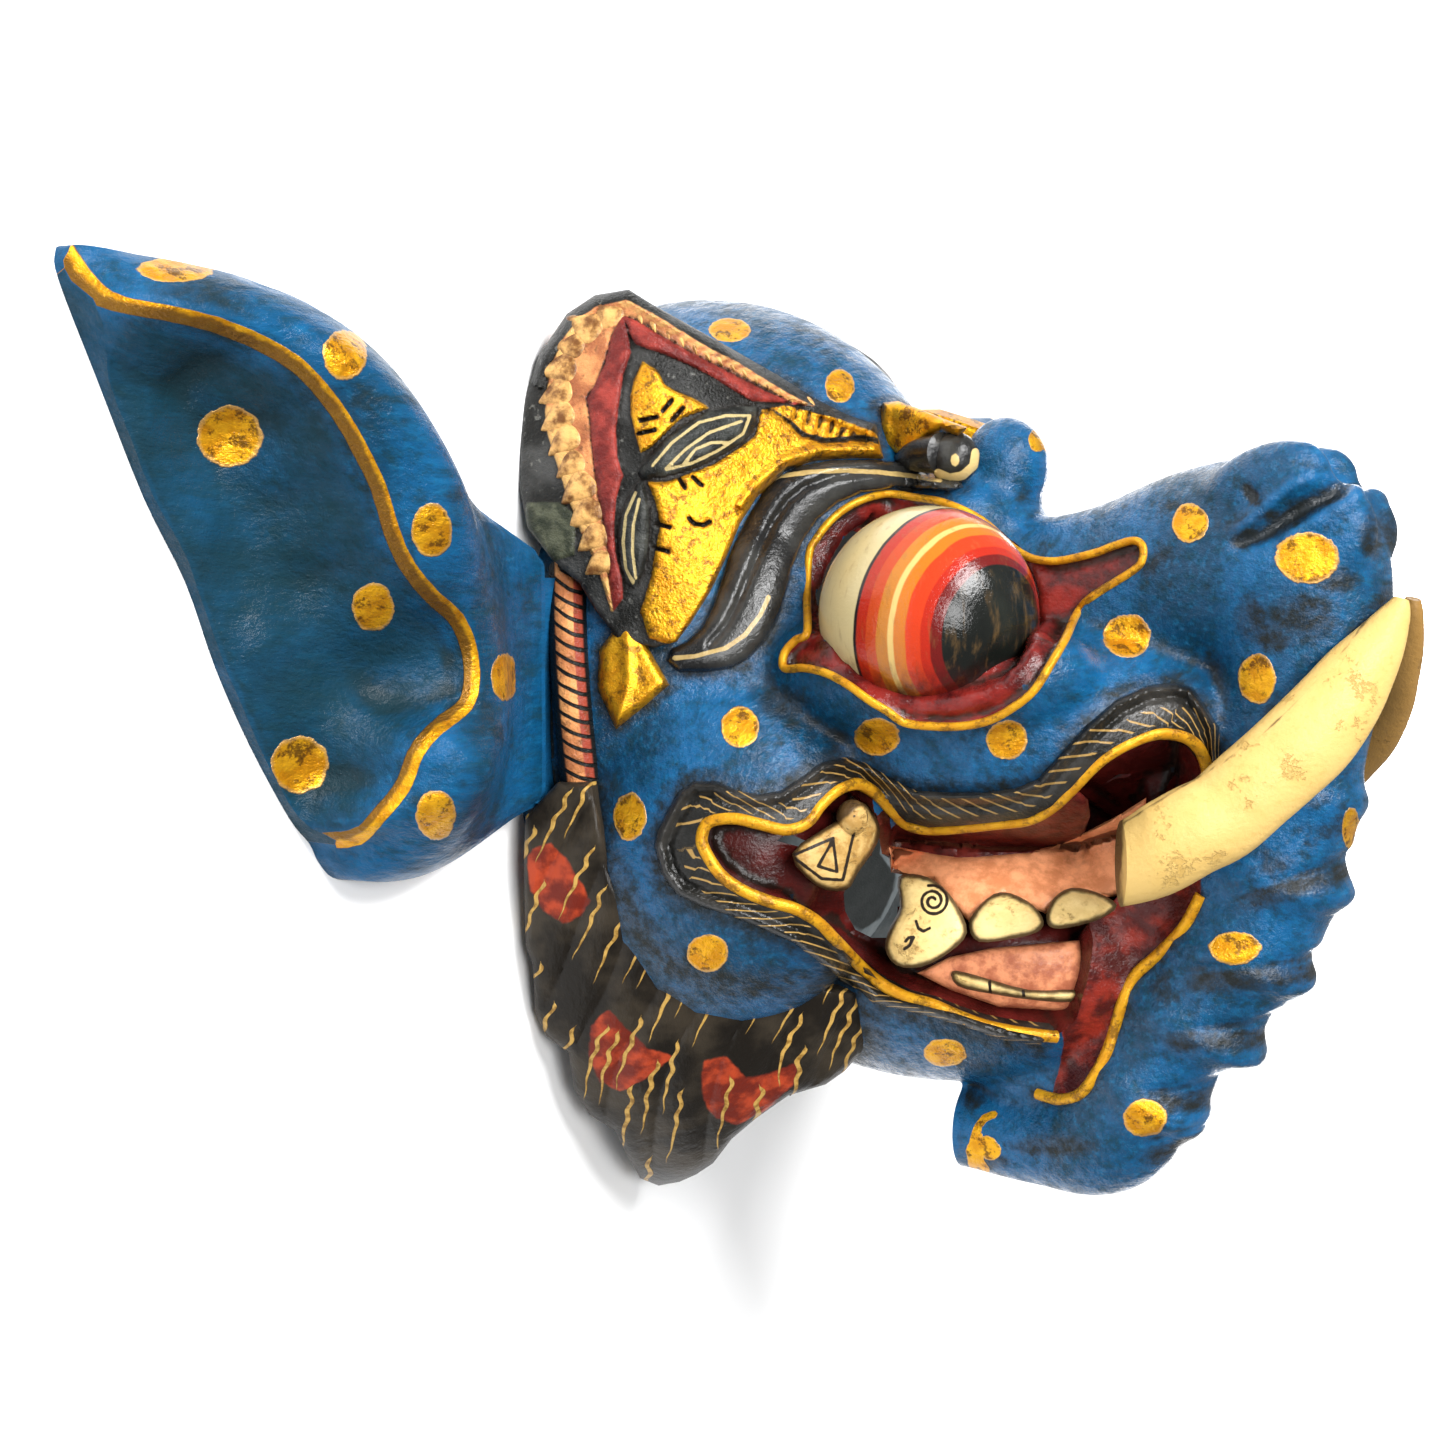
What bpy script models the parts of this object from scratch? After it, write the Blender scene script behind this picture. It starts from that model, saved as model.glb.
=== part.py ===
"""A carved and painted wooden elephant-head mask, lying on its open back with the face up.

The row frame: +Z is where the face looks, +Y is the crown, and -X is the mask's own right side.
The head is one carving, and the two ears are separate boards let into its sides.
"""

import math

import bmesh
import bpy
import numpy as np
from mathutils import Matrix, Vector
from mathutils.bvhtree import BVHTree
from mathutils.geometry import delaunay_2d_cdt

# Driving sizes, in metres
MASK_HEIGHT = 0.240
MOUTH_DEPTH = 0.013
EAR_GAP = 0.0003
CROWN_THICKNESS = 0.009
BEARD_THICKNESS = 0.010

# How finely the solids are cut, for a mask of this height
SOFT_VOXEL = MASK_HEIGHT / 80.0
CARVED_VOXEL = MASK_HEIGHT / 133.0
EAR_GRID = MASK_HEIGHT / 26.0
HEAD_TRIANGLES = 7400

# The carving is free-form: its places and radii are shares of the mask's height, and at the real
# size one share is a millimetre.
SHARE = MASK_HEIGHT / 240.0

# The outlines are drawn as seen from one point off the mask's right side, on a plane through the
# middle of the head that faces that point.
SIGHT_POINT = Vector((-583.4, 34.0, 299.6)) * SHARE
DRAWING_MIDDLE = Vector((0.0, 0.0, 15.0)) * SHARE
SIDES = {"right": 1, "left": -1}
# The row's origin is the middle of the whole outline, this far under the drawing's zero.
OUTLINE_LIFT = 3.6 * SHARE


def clear_scene():
    for obj in list(bpy.data.objects):
        bpy.data.objects.remove(obj, do_unlink=True)


def material(name, colour, roughness, metallic=0.0):
    made = bpy.data.materials.new(name)
    made.use_nodes = True
    shader = made.node_tree.nodes["Principled BSDF"]
    shader.inputs["Base Color"].default_value = (*colour, 1.0)
    shader.inputs["Roughness"].default_value = roughness
    shader.inputs["Metallic"].default_value = metallic
    return made


def place(x, y, z):
    """A point given in shares of the mask's height."""
    return Vector((x, y, z)) * SHARE


def smooth_path(points, steps, closed=False):
    """Points read from a smooth curve through the given ones (Catmull-Rom)."""
    points = [Vector(p) for p in points]
    count = len(points)
    made = []
    for i in range(count if closed else count - 1):
        if closed:
            a, b, c, d = (points[(i + k) % count] for k in (-1, 0, 1, 2))
        else:
            a, b, c, d = (points[min(max(i + k, 0), count - 1)] for k in (-1, 0, 1, 2))
        for step in range(steps):
            t = step / steps
            made.append(
                0.5 * (2 * b + (c - a) * t + (2 * a - 5 * b + 4 * c - d) * t**2 + (3 * b - a - 3 * c + d) * t**3)
            )
    if not closed:
        made.append(points[-1])
    return made


def sight_ray(drawn):
    """The line of sight through a drawn point (across, up), in shares: its start and direction."""
    back = (DRAWING_MIDDLE - SIGHT_POINT).normalized()
    across = back.cross(Vector((0.0, 1.0, 0.0))).normalized()
    upward = across.cross(back)
    target = DRAWING_MIDDLE + (across * drawn[0] + upward * drawn[1]) * SHARE
    return SIGHT_POINT, (target - SIGHT_POINT).normalized()


# Basic solids, each a bmesh with its faces pointing out


def ball(centre, radii, turn_x=0.0, detail=3):
    """An ellipsoid. turn_x tips it about the X axis, in degrees."""
    made = bmesh.new()
    bmesh.ops.create_icosphere(made, subdivisions=detail, radius=1.0)
    shape = Matrix.Diagonal(Vector(radii) * SHARE).to_4x4()
    tip = Matrix.Rotation(math.radians(turn_x), 4, "X")
    made.transform(Matrix.Translation(place(*centre)) @ tip @ shape)
    return made


def sweep(path, radii, sides=14):
    """A round bar along a path, both in metres, with a rounded end at each end."""
    made = bmesh.new()
    count = len(path)
    rings = []
    side = None
    for i, centre in enumerate(path):
        along = (path[min(i + 1, count - 1)] - path[max(i - 1, 0)]).normalized()
        side = along.orthogonal().normalized() if side is None else (side - along * side.dot(along)).normalized()
        other = along.cross(side)
        rings.append(
            [
                made.verts.new(centre + (side * math.cos(a) + other * math.sin(a)) * radii[i])
                for a in (math.tau * k / sides for k in range(sides))
            ]
        )
    for low, high in zip(rings, rings[1:]):
        for k in range(sides):
            made.faces.new((low[k], low[(k + 1) % sides], high[(k + 1) % sides], high[k]))
    for ring, end, before in ((rings[0], 0, 1), (rings[-1], count - 1, count - 2)):
        tip = made.verts.new(path[end] + (path[end] - path[before]).normalized() * radii[end] * 0.6)
        for k in range(sides):
            made.faces.new((ring[k], ring[(k + 1) % sides], tip))
    bmesh.ops.recalc_face_normals(made, faces=made.faces)
    return made


def bar(points, steps=5, sides=14):
    """A round bar through (x, y, z, radius) points, in shares."""
    smooth = smooth_path([Vector(p[:3]) for p in points], steps)
    widths = smooth_path([Vector((p[3], 0, 0)) for p in points], steps)
    return sweep([p * SHARE for p in smooth], [w.x * SHARE for w in widths], sides)


def seen_at(drawn, x):
    """The point at sideways place x, in shares, that is seen at a drawn point. In metres."""
    start, direction = sight_ray(drawn)
    return start + direction * ((x * SHARE - start.x) / direction.x)


def seen_at_height(drawn, z):
    """The point at height z over the back, in shares, that is seen at a drawn point. In metres."""
    start, direction = sight_ray(drawn)
    return start + direction * ((z * SHARE - start.z) / direction.z)


def on_ellipsoid(centre, radii):
    """A surface: gives the seen point and the outward direction for a drawn point."""
    centre = place(*centre)
    radii = Vector(radii) * SHARE

    def find(drawn):
        start, direction = sight_ray(drawn)
        offset = Vector((start - centre)[k] / radii[k] for k in range(3))
        slope = Vector(direction[k] / radii[k] for k in range(3))
        a, b, c = slope.dot(slope), offset.dot(slope), offset.dot(offset) - 1.0
        root = max(b * b - a * c, 0.0)
        point = start + direction * ((-b - math.sqrt(root)) / a)
        normal = Vector((point - centre)[k] / radii[k] ** 2 for k in range(3)).normalized()
        return point, normal

    return find


def on_skin(tree):
    """The same for a skin. A line of sight that misses it gives the nearest place on it."""

    def find(drawn):
        start, direction = sight_ray(drawn)
        point, normal, _, _ = tree.ray_cast(start, direction)
        if point is not None:
            return point, normal
        steps = [start + direction * (400 + 5 * k) * SHARE for k in range(90)]
        nearest = min((tree.find_nearest(step) for step in steps), key=lambda found: found[3])
        return nearest[0], nearest[1]

    return find


def between(first, second, low, high):
    """A surface that goes over from the first to the second as the drawn point moves across."""

    def find(drawn):
        share = min(max((drawn[0] - low) / (high - low), 0.0), 1.0)
        share = share * share * (3 - 2 * share)
        (p, n), (q, m) = first(drawn), second(drawn)
        return p.lerp(q, share), n.lerp(m, share).normalized()

    return find


def inside(point, loop):
    crossings = False
    for (x0, y0), (x1, y1) in zip(loop, loop[1:] + loop[:1]):
        if (y0 > point[1]) != (y1 > point[1]) and point[0] < (x1 - x0) * (point[1] - y0) / (y1 - y0) + x0:
            crossings = not crossings
    return crossings


def filled(loop, lines=(), grid=5.0):
    """Triangles that fill a drawn outline: their points and corner numbers. Lines stay as edges."""
    points = [Vector(p) for p in loop]
    edges = [(k, (k + 1) % len(loop)) for k in range(len(loop))]
    for line in lines:
        first = len(points)
        points += [Vector(p) for p in line]
        edges += [(k, k + 1) for k in range(first, len(points) - 1)]
    held = list(points)
    low = [min(p[k] for p in loop) for k in range(2)]
    high = [max(p[k] for p in loop) for k in range(2)]
    for row in range(int((high[1] - low[1]) / grid) + 1):
        for column in range(int((high[0] - low[0]) / grid) + 1):
            spot = Vector((low[0] + (column + 0.5 * (row % 2)) * grid, low[1] + row * grid))
            if inside(spot, list(loop)) and min((spot - p).length for p in held) > 0.6 * grid:
                points.append(spot)
    corners, _, faces, _, _, _ = delaunay_2d_cdt(points, edges, [], 1, 0.002 * grid)
    return corners, faces


def slab(corners, faces, fronts, backs):
    """A solid between front and back points of the same triangles."""
    made = bmesh.new()
    top = [made.verts.new(p) for p in fronts]
    bottom = [made.verts.new(p) for p in backs]
    used = {}
    for face in faces:
        made.faces.new([top[k] for k in face])
        made.faces.new([bottom[k] for k in reversed(face)])
        for a, b in zip(face, list(face[1:]) + [face[0]]):
            used[(a, b)] = True
    for a, b in list(used):
        if (b, a) not in used:
            made.faces.new((top[b], top[a], bottom[a], bottom[b]))
    loose = [v for v in made.verts if not v.link_faces]
    bmesh.ops.delete(made, geom=loose, context="VERTS")
    bmesh.ops.recalc_face_normals(made, faces=made.faces)
    return made


def patch(surface, loop, raised, sunk, grid=5.0):
    """A piece that follows a surface within a drawn outline, raised over it and sunk into it."""
    corners, faces = filled(loop, grid=grid)
    found = [surface(p) for p in corners]
    fronts = [p + n * raised * SHARE for p, n in found]
    backs = [p - n * sunk * SHARE for p, n in found]
    return slab(corners, faces, fronts, backs)


def plug(surface, loop, before, beyond):
    """A straight plug along the lines of sight, from before a surface to beyond it."""
    far = [(surface(p)[0] - SIGHT_POINT).length for p in loop]
    middle = sum(far) / len(far)
    corners, faces = filled(loop, grid=99)
    rays = [sight_ray(p) for p in corners]
    fronts = [start + direction * (middle - before * SHARE) for start, direction in rays]
    backs = [start + direction * (middle + beyond * SHARE) for start, direction in rays]
    return slab(corners, faces, fronts, backs)


def bead(surface, line, radii, lift=0.0, closed=False):
    """A round bar that lies along a drawn line on a surface."""
    widths = radii if isinstance(radii, (list, tuple)) else [radii] * len(line)
    path = []
    for drawn in line:
        point, normal = surface(drawn)
        path.append(point + normal * lift * SHARE)
    if closed:
        path.append(path[0])
        widths = list(widths) + [widths[0]]
    smooth = smooth_path(path, 3)
    wide = smooth_path([Vector((w, 0, 0)) for w in widths], 3)
    return sweep(smooth, [w.x * SHARE for w in wide], 8)


def mirrored(shape):
    """The same solid on the mask's left side."""
    made = shape.copy()
    made.transform(Matrix.Diagonal((-1.0, 1.0, 1.0, 1.0)))
    bmesh.ops.reverse_faces(made, faces=made.faces)
    return made


def both(shape):
    return [shape, mirrored(shape)]


def joined(name, shapes):
    """One object that holds every given solid."""
    whole = bmesh.new()
    for shape in shapes:
        part = bpy.data.meshes.new("part")
        shape.to_mesh(part)
        shape.free()
        whole.from_mesh(part)
        bpy.data.meshes.remove(part)
    mesh = bpy.data.meshes.new(name)
    whole.to_mesh(mesh)
    whole.free()
    obj = bpy.data.objects.new(name, mesh)
    bpy.context.scene.collection.objects.link(obj)
    return obj


def shaped(obj):
    """The object's mesh as its modifiers leave it, as a bmesh. The object is removed."""
    bpy.context.view_layer.update()
    evaluated = obj.evaluated_get(bpy.context.evaluated_depsgraph_get())
    made = bmesh.new()
    made.from_mesh(evaluated.to_mesh())
    bpy.data.objects.remove(obj, do_unlink=True)
    return made


def fuse(obj, voxel, smoothing):
    """Makes overlapping solids one skin, and softens where they meet."""
    remesh = obj.modifiers.new("fuse", "REMESH")
    remesh.mode = "VOXEL"
    remesh.voxel_size = voxel
    if smoothing:
        soften = obj.modifiers.new("soften", "SMOOTH")
        soften.factor = 0.5
        soften.iterations = smoothing
    return obj


def cut(obj, name, shapes, operation="DIFFERENCE"):
    """Cuts solids from an object, or keeps only what lies inside them."""
    cutter = joined(name, shapes)
    cutter.hide_render = True
    cutter.display_type = "WIRE"
    boolean = obj.modifiers.new(name, "BOOLEAN")
    boolean.operation = operation
    boolean.solver = "EXACT"
    boolean.object = cutter
    return cutter


# The head's soft forms, in shares: skull, face, cheeks, jaws, snout and trunk

TRUNK = [
    (0, 14, 60, 34), (0, 24, 96, 28), (0, 32, 124, 24.5), (0, 40, 148, 25.5), (0, 40, 164, 25),
    (0, 22, 168, 21), (0, -4, 164, 20), (0, -28, 160.5, 20), (0, -52, 152, 19), (0, -74, 137, 17.5),
    (0, -97, 122, 18), (0, -102.5, 104, 12.5), (0, -102, 86, 10.5), (0, -102, 74, 10.5),
]
# Each fold across the trunk: its y and z places, radius and tip
TRUNK_FOLDS = (
    (-13, 164, 22, 8), (-33, 161, 22.5, 13), (-52, 153.5, 22, 21), (-69, 143, 21.5, 29), (-86, 131, 21, 38),
)


def soft_forms():
    forms = [
        ball((0, 45, 10), (60, 67, 68)),
        ball((0, 4, 6), (83, 78, 78)),
        ball((0, 2, 92), (58, 32, 66)),
        ball((0, -55, 78), (40, 35, 58)),
        ball((0, 66, 94), (12, 13, 11), detail=2),
        ball((0, 50, 84), (26, 16, 20), detail=2),
        bar(TRUNK),
    ]
    forms += both(ball((-50, -26, 38), (36, 46, 44)))
    forms += both(ball((-15, 58, 162), (9, 10.5, 18), turn_x=-28, detail=2))
    forms += both(ball((-12, 49, 177), (9, 12.5, 12), turn_x=-25, detail=2))
    forms += both(ball((-45, 16, 90), (26, 18, 42), detail=2))
    for y, z, radius, tip in TRUNK_FOLDS:
        forms.append(ball((0, y, z), (radius, 5.0, radius), turn_x=tip))
    # Behind the trunk it is closed down to the chin
    forms.append(ball((0, -82, 112), (12, 13, 17), detail=2))
    forms.append(ball((0, -42, 130), (15, 24, 22), detail=2))
    return forms


# Outlines on the drawing: (across, up) in shares

MOUTH_TOP = [
    (-5.5, -30.5), (-3.5, -26.5), (3, -25.5), (10, -27), (17, -28.5), (22.5, -26.5), (26, -22),
    (30.5, -18), (35.5, -16.5), (40, -18.5), (44.5, -22.5), (49, -26.5), (55, -28), (64, -27.5),
    (73.5, -26.5), (81.5, -25.5), (87.5, -22.5), (93, -17.5), (100, -10.5), (107, -6), (115, -3),
    (122, -3.5), (126.5, -6.5), (129, -12.5),
]
MOUTH_END = [(122, -24), (112, -36), (105, -47), (99, -58), (97, -70), (94, -80)]
LOWER_LIP = [
    (89, -83.5), (84, -83), (77, -82), (70, -80.5), (63, -78), (56, -75), (49, -73), (42.5, -69.5),
    (36.5, -64.5), (30.5, -58.5), (25, -53), (19, -49.5), (12, -47.5), (5, -44.5), (-0.5, -40.5), (-4.5, -34.5),
]
BAND_TOP = [
    (-17.5, -29), (-15.5, -24.5), (-12, -18.5), (-7.5, -15.5), (-1.5, -15.5), (4, -18), (10, -19),
    (15.5, -18), (21.5, -14), (26, -10.5), (33, -9), (39, -11), (44.5, -14.5), (51.5, -18), (61, -18.5),
    (70, -18.5), (78, -17.5), (84, -15), (89.5, -9), (96.5, -1), (104.5, 6), (113, 10), (121, 11),
    (125.5, 9.5), (129, 4.5), (132.5, -1), (133, -7), (133.5, -10.5),
]
BAND_LOW = [
    (-18.5, -32.5), (-16.5, -40.5), (-12.5, -46), (-5, -49.5), (3, -52), (11, -55.5), (19, -59),
    (25, -63.5), (30.5, -68), (36.5, -71.5), (40, -75), (55, -78.5), (64, -81), (73.5, -84.5), (84, -86.5),
]
TRUNK_LINE = [
    (127.5, -46), (123, -54.5), (116.5, -61.5), (109.5, -68), (106.5, -75), (104.5, -82), (102, -89),
    (98, -96), (94.5, -99.5), (89.5, -100.5), (84, -99),
]
EYE = [
    (16.5, 14.5), (16.5, 18.5), (19.5, 22), (22.5, 24), (22.5, 33.5), (23, 44.5), (25, 49), (29, 54),
    (33.5, 57.5), (39, 60), (44.5, 61), (51.5, 60), (59.5, 58.5), (69, 54), (79, 45.5), (87.5, 43),
    (98.5, 45), (104, 47), (109.5, 48.5), (112, 47), (112, 43.5), (109.5, 40.5), (98.5, 33.5),
    (94.5, 29), (91.5, 22.5), (87.5, 15.5), (83, 8.5), (77.5, 4), (71, 0.5), (63.5, -1), (55.5, -1),
    (48.5, 0), (44, 3), (39, 6), (33.5, 10), (28, 13), (22, 14.5),
]
BROW = [(-16, 18), (-9, 18.5), (-2, 24), (4, 32), (9, 40), (14, 48.5), (20, 57), (27, 62.5), (35, 66), (43, 66.5), (52, 64.5)]
BROW_WIDTHS = [2, 4, 6.5, 8, 8, 7.5, 7, 6.5, 5, 4, 3]
PANEL = [
    (-54, 61.5), (-54, 73.5), (-53, 86), (-49, 98), (-41.5, 109), (-34, 114), (-25, 115.5), (-19.5, 112),
    (-12.5, 108), (1, 100.5), (15, 92.5), (24.5, 86.5), (33.5, 82), (41, 79.5), (43, 70.5), (34.5, 71),
    (25, 70.5), (17.5, 68), (10, 61.5), (5.5, 55), (1, 44.5), (-3, 36), (-8.5, 27), (-12.5, 21.5), (-18, 20),
    (-28, 22), (-34, 30), (-38, 37), (-45.5, 43.5), (-52, 52),
]
ROPE = [(-41, 41), (-41, 28), (-40.5, 16), (-39.5, 2), (-38.5, -8), (-37.5, -17)]
PENDANT = [(-25.5, 29.5), (-33, 19.5), (-33.5, 9), (-28.5, -2), (-21, 4), (-14, 10), (-18, 17), (-21.5, 24)]
BEARD = [
    (-52.5, -25), (-53, -38), (-52.5, -59.5), (-50.5, -65), (-50, -77), (-47, -83.5), (-41, -88),
    (-39.5, -97.5), (-35.5, -104.5), (-28.5, -109), (-25.5, -115), (-22, -121.5), (-17, -123.5),
    (-11.5, -122.5), (-7, -120.5), (-2.5, -117.5), (2.5, -111), (9, -105.5), (17.5, -99.5), (27.5, -96.5),
    (32.5, -93), (37, -88), (39.5, -85), (35.5, -72), (20, -70), (1, -70), (-15, -64), (-25, -52),
    (-30, -40), (-32, -28), (-35, -16), (-44, -16),
]
UPPER_GUM = [
    (42, -33.5), (60, -32.5), (84, -30.5), (96, -30), (112, -24), (112, -44), (104, -46.5), (94, -46), (86, -51),
    (76, -46), (66, -53.5), (56, -42), (45, -40),
]
CANINE = [
    (46.8, -41.2), (53, -40.7), (58.5, -43.6), (62.8, -49.2), (65.2, -56), (60.7, -61.2), (53, -65.2),
    (46.3, -64.7), (43.3, -60.1), (44.7, -54.5), (47.3, -49.2),
]
INCISORS = [
    [(65.7, -54.5), (67.3, -50.3), (72.4, -45.7), (77.2, -45.7), (82.8, -48.7), (85.7, -53), (83.9, -55.9),
     (77.2, -57.7), (68.4, -58.5)],
    [(86.3, -51.3), (88.4, -46.8), (92.9, -44.1), (99.6, -45.2), (105.2, -48.7), (100.7, -52.4), (91.9, -54.8),
     (87.3, -54.5)],
]
BACK_FANG = [
    (18.5, -35), (29.5, -26.8), (37.2, -21.2), (41.7, -26.8), (41.2, -32.4), (36.1, -40.1), (32.9, -44.7),
    (25.2, -43.6),
]
LOWER_GUM = [
    (51.9, -66.8), (60.7, -62.5), (71.9, -60.1), (95.1, -58), (97.2, -66.8), (93, -77), (74, -75.9), (60.7, -71.3),
]
LOWER_TEETH = [(61.2, -66.3), (67.3, -67.3), (81.7, -71.3), (94, -71.3), (93, -74.5), (82.8, -74), (71.9, -72.4), (62.8, -70.3)]
BACK_HOLE = [(17.5, -29.5), (22, -31.5), (22, -33.5), (18, -32.5), (14.5, -31.5)]
SIDE_HOLE = [
    (37.1, -35.5), (41.5, -35.5), (45.1, -40.5), (46.8, -45.8), (46.5, -53), (45.1, -57.4), (39.8, -57.4),
    (35.4, -55.2), (32.7, -50.3), (32.3, -45.8), (33.6, -42.3),
]
FRONT_HOLE = [
    (98.5, -20.8), (100, -17.5), (105.7, -13.8), (111.4, -13.8), (113.2, -17.5), (110, -21), (104.5, -23.5), (99.5, -23.5),
]
# The tusk: across, up, sideways place, half width, half thickness
# The seat that is sunk under each eyeball: across, up, radius and depth
EYE_SEAT = (55.6, 30.5, 28, 9)
TUSK = [
    (106.2, -37.7, -47, 11.3, 8.5), (115, -34.5, -47, 12, 8.5), (125, -29, -44, 12, 8.5),
    (133, -25, -40.5, 12, 8), (141, -18, -37, 12, 8), (149, -11, -33, 12, 7.5), (157, -3.5, -29, 12, 7),
    (164, 5, -24, 11, 6.5), (169.5, 13, -18.5, 9.5, 6), (175, 21, -13.5, 7, 5), (179.5, 29, -9, 4, 3),
    (181, 33, -7.5, 2, 2),
]

# The ear: its outline, the gold ridge inside it, and how high each of their points stands
EAR_OUTLINE = [
    (-45, 41.5, 10), (-53.5, 50, 11), (-65, 59, 15), (-74, 70.5, 19), (-80.5, 83, 22), (-87, 93.5, 23), (-95.5, 102.5, 22),
    (-106, 110.5, 20), (-121, 117, 17), (-138, 122, 14), (-154.5, 125, 9), (-170.5, 127.5, 4.5), (-174.5, 125.5, 3),
    (-173.5, 118, 3), (-163.5, 92, 3), (-151, 60, 3), (-140, 37.5, 3), (-132, 14.5, 3), (-123, -6, 3),
    (-112.5, -25.5, 3), (-106, -32.5, 4), (-100.5, -37.5, 7), (-93.5, -42, 10), (-85.5, -42.5, 12), (-75.5, -40, 13),
    (-65, -34, 13), (-53.5, -25.5, 11), (-43, -18, 10), (-43, 0, 10), (-44, 20, 10),
]
EAR_RIDGE = [
    (-168, 117, 6), (-161, 113, 11), (-148, 110.5, 17), (-135.5, 107.5, 20), (-124, 103, 23), (-113.5, 97, 26),
    (-106, 89.5, 28), (-99.5, 80.5, 29), (-94.5, 71.5, 30), (-90.5, 63, 30), (-87, 51.5, 30), (-83, 42.5, 30),
    (-76.5, 34.5, 30), (-70, 28.5, 29), (-66.5, 20.5, 28), (-65.5, 11.5, 28), (-67.5, 4, 28), (-75.5, -2.5, 28),
    (-80.5, -8.5, 26), (-84, -17.5, 23), (-90.5, -25.5, 19), (-97, -32, 13),
]
EAR_HOLLOW = [
    (-140, 95, 9), (-150, 80, 6.5), (-125, 80, 12), (-115, 60, 14), (-135, 50, 8), (-105, 40, 15), (-120, 20, 10),
    (-95, 20, 15), (-90, 5, 15), (-108, 0, 10), (-100, -15, 10), (-52, 12, 12), (-56, 30, 14), (-56, -10, 14),
]
# The tongue that goes into the head, and where the board ends against the head's flat seat
EAR_ROOT = ((-89, -79), (-15, 38), (0, 9.6))
EAR_BOARD_START = -86
EAR_SEAT = ((-130, -86), (-46, 52), (-30, 20))


def blade(stations):
    """A flattened bar along drawn stations, as wide on the drawing as they say."""
    back, across, upward = sight_frame()
    path = [seen_at(s[:2], s[2]) for s in stations]
    made = bmesh.new()
    rings = []
    for i, (_, _, _, wide, thick) in enumerate(stations):
        before, after = stations[max(i - 1, 0)], stations[min(i + 1, len(stations) - 1)]
        flat = (upward * (after[0] - before[0]) - across * (after[1] - before[1])).normalized()
        # Its root is cut off upright
        turned = min(max((stations[i][0] - stations[0][0]) / 12, 0), 1)
        flat = upward.lerp(flat, turned).normalized()
        near = (path[i] - SIGHT_POINT).length / (DRAWING_MIDDLE - SIGHT_POINT).length
        rings.append(
            [
                made.verts.new(
                    path[i] + flat * math.cos(a) * wide * near * SHARE + back * math.sin(a) * thick * SHARE
                )
                for a in (math.tau * k / 16 for k in range(16))
            ]
        )
    for low, high in zip(rings, rings[1:]):
        for k in range(16):
            made.faces.new((low[k], low[(k + 1) % 16], high[(k + 1) % 16], high[k]))
    made.faces.new(rings[0])
    made.faces.new(rings[-1])
    bmesh.ops.triangulate(made, faces=[f for f in made.faces if len(f.verts) > 4])
    bmesh.ops.recalc_face_normals(made, faces=made.faces)
    return made


def sight_frame():
    """The drawing's back, across and up directions."""
    back = (DRAWING_MIDDLE - SIGHT_POINT).normalized()
    across = back.cross(Vector((0.0, 1.0, 0.0))).normalized()
    return back, across, across.cross(back)


def block(x, y, z):
    """A box between (low, high) places in shares."""
    made = bmesh.new()
    bmesh.ops.create_cube(made, size=1.0)
    size = Vector((x[1] - x[0], y[1] - y[0], z[1] - z[0]))
    middle = place((x[0] + x[1]) / 2, (y[0] + y[1]) / 2, (z[0] + z[1]) / 2)
    made.transform(Matrix.Translation(middle) @ Matrix.Diagonal(size * SHARE).to_4x4())
    return made


def finished(obj, name, triangles, stuff):
    """Thins a solid out to a count of triangles and gives it its name and material."""
    made = shaped(obj)
    bmesh.ops.triangulate(made, faces=made.faces)
    obj = joined(name, [made])
    if len(obj.data.polygons) > triangles:
        thin = obj.modifiers.new("thin", "DECIMATE")
        thin.ratio = triangles / len(obj.data.polygons)
    made = shaped(obj)
    obj = joined(name, [made])
    obj.data.materials.append(stuff)
    return obj


def clean(shapes, voxel=CARVED_VOXEL):
    """Overlapping solids as one clean skin, ready to cut with."""
    return shaped(fuse(joined("clean", shapes), voxel, 0))


def keep_largest(made):
    """Removes the crumbs that a cut leaves."""
    waiting = set(made.verts)
    pieces = []
    while waiting:
        piece = {waiting.pop()}
        edge = list(piece)
        while edge:
            found = {e.other_vert(v) for v in edge for e in v.link_edges} - piece
            piece |= found
            edge = list(found)
        waiting -= piece
        pieces.append(piece)
    largest = max(pieces, key=len)
    bmesh.ops.delete(made, geom=[v for v in made.verts if v not in largest], context="VERTS")


def drop(*objects):
    for obj in objects:
        bpy.data.objects.remove(obj, do_unlink=True)


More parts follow.
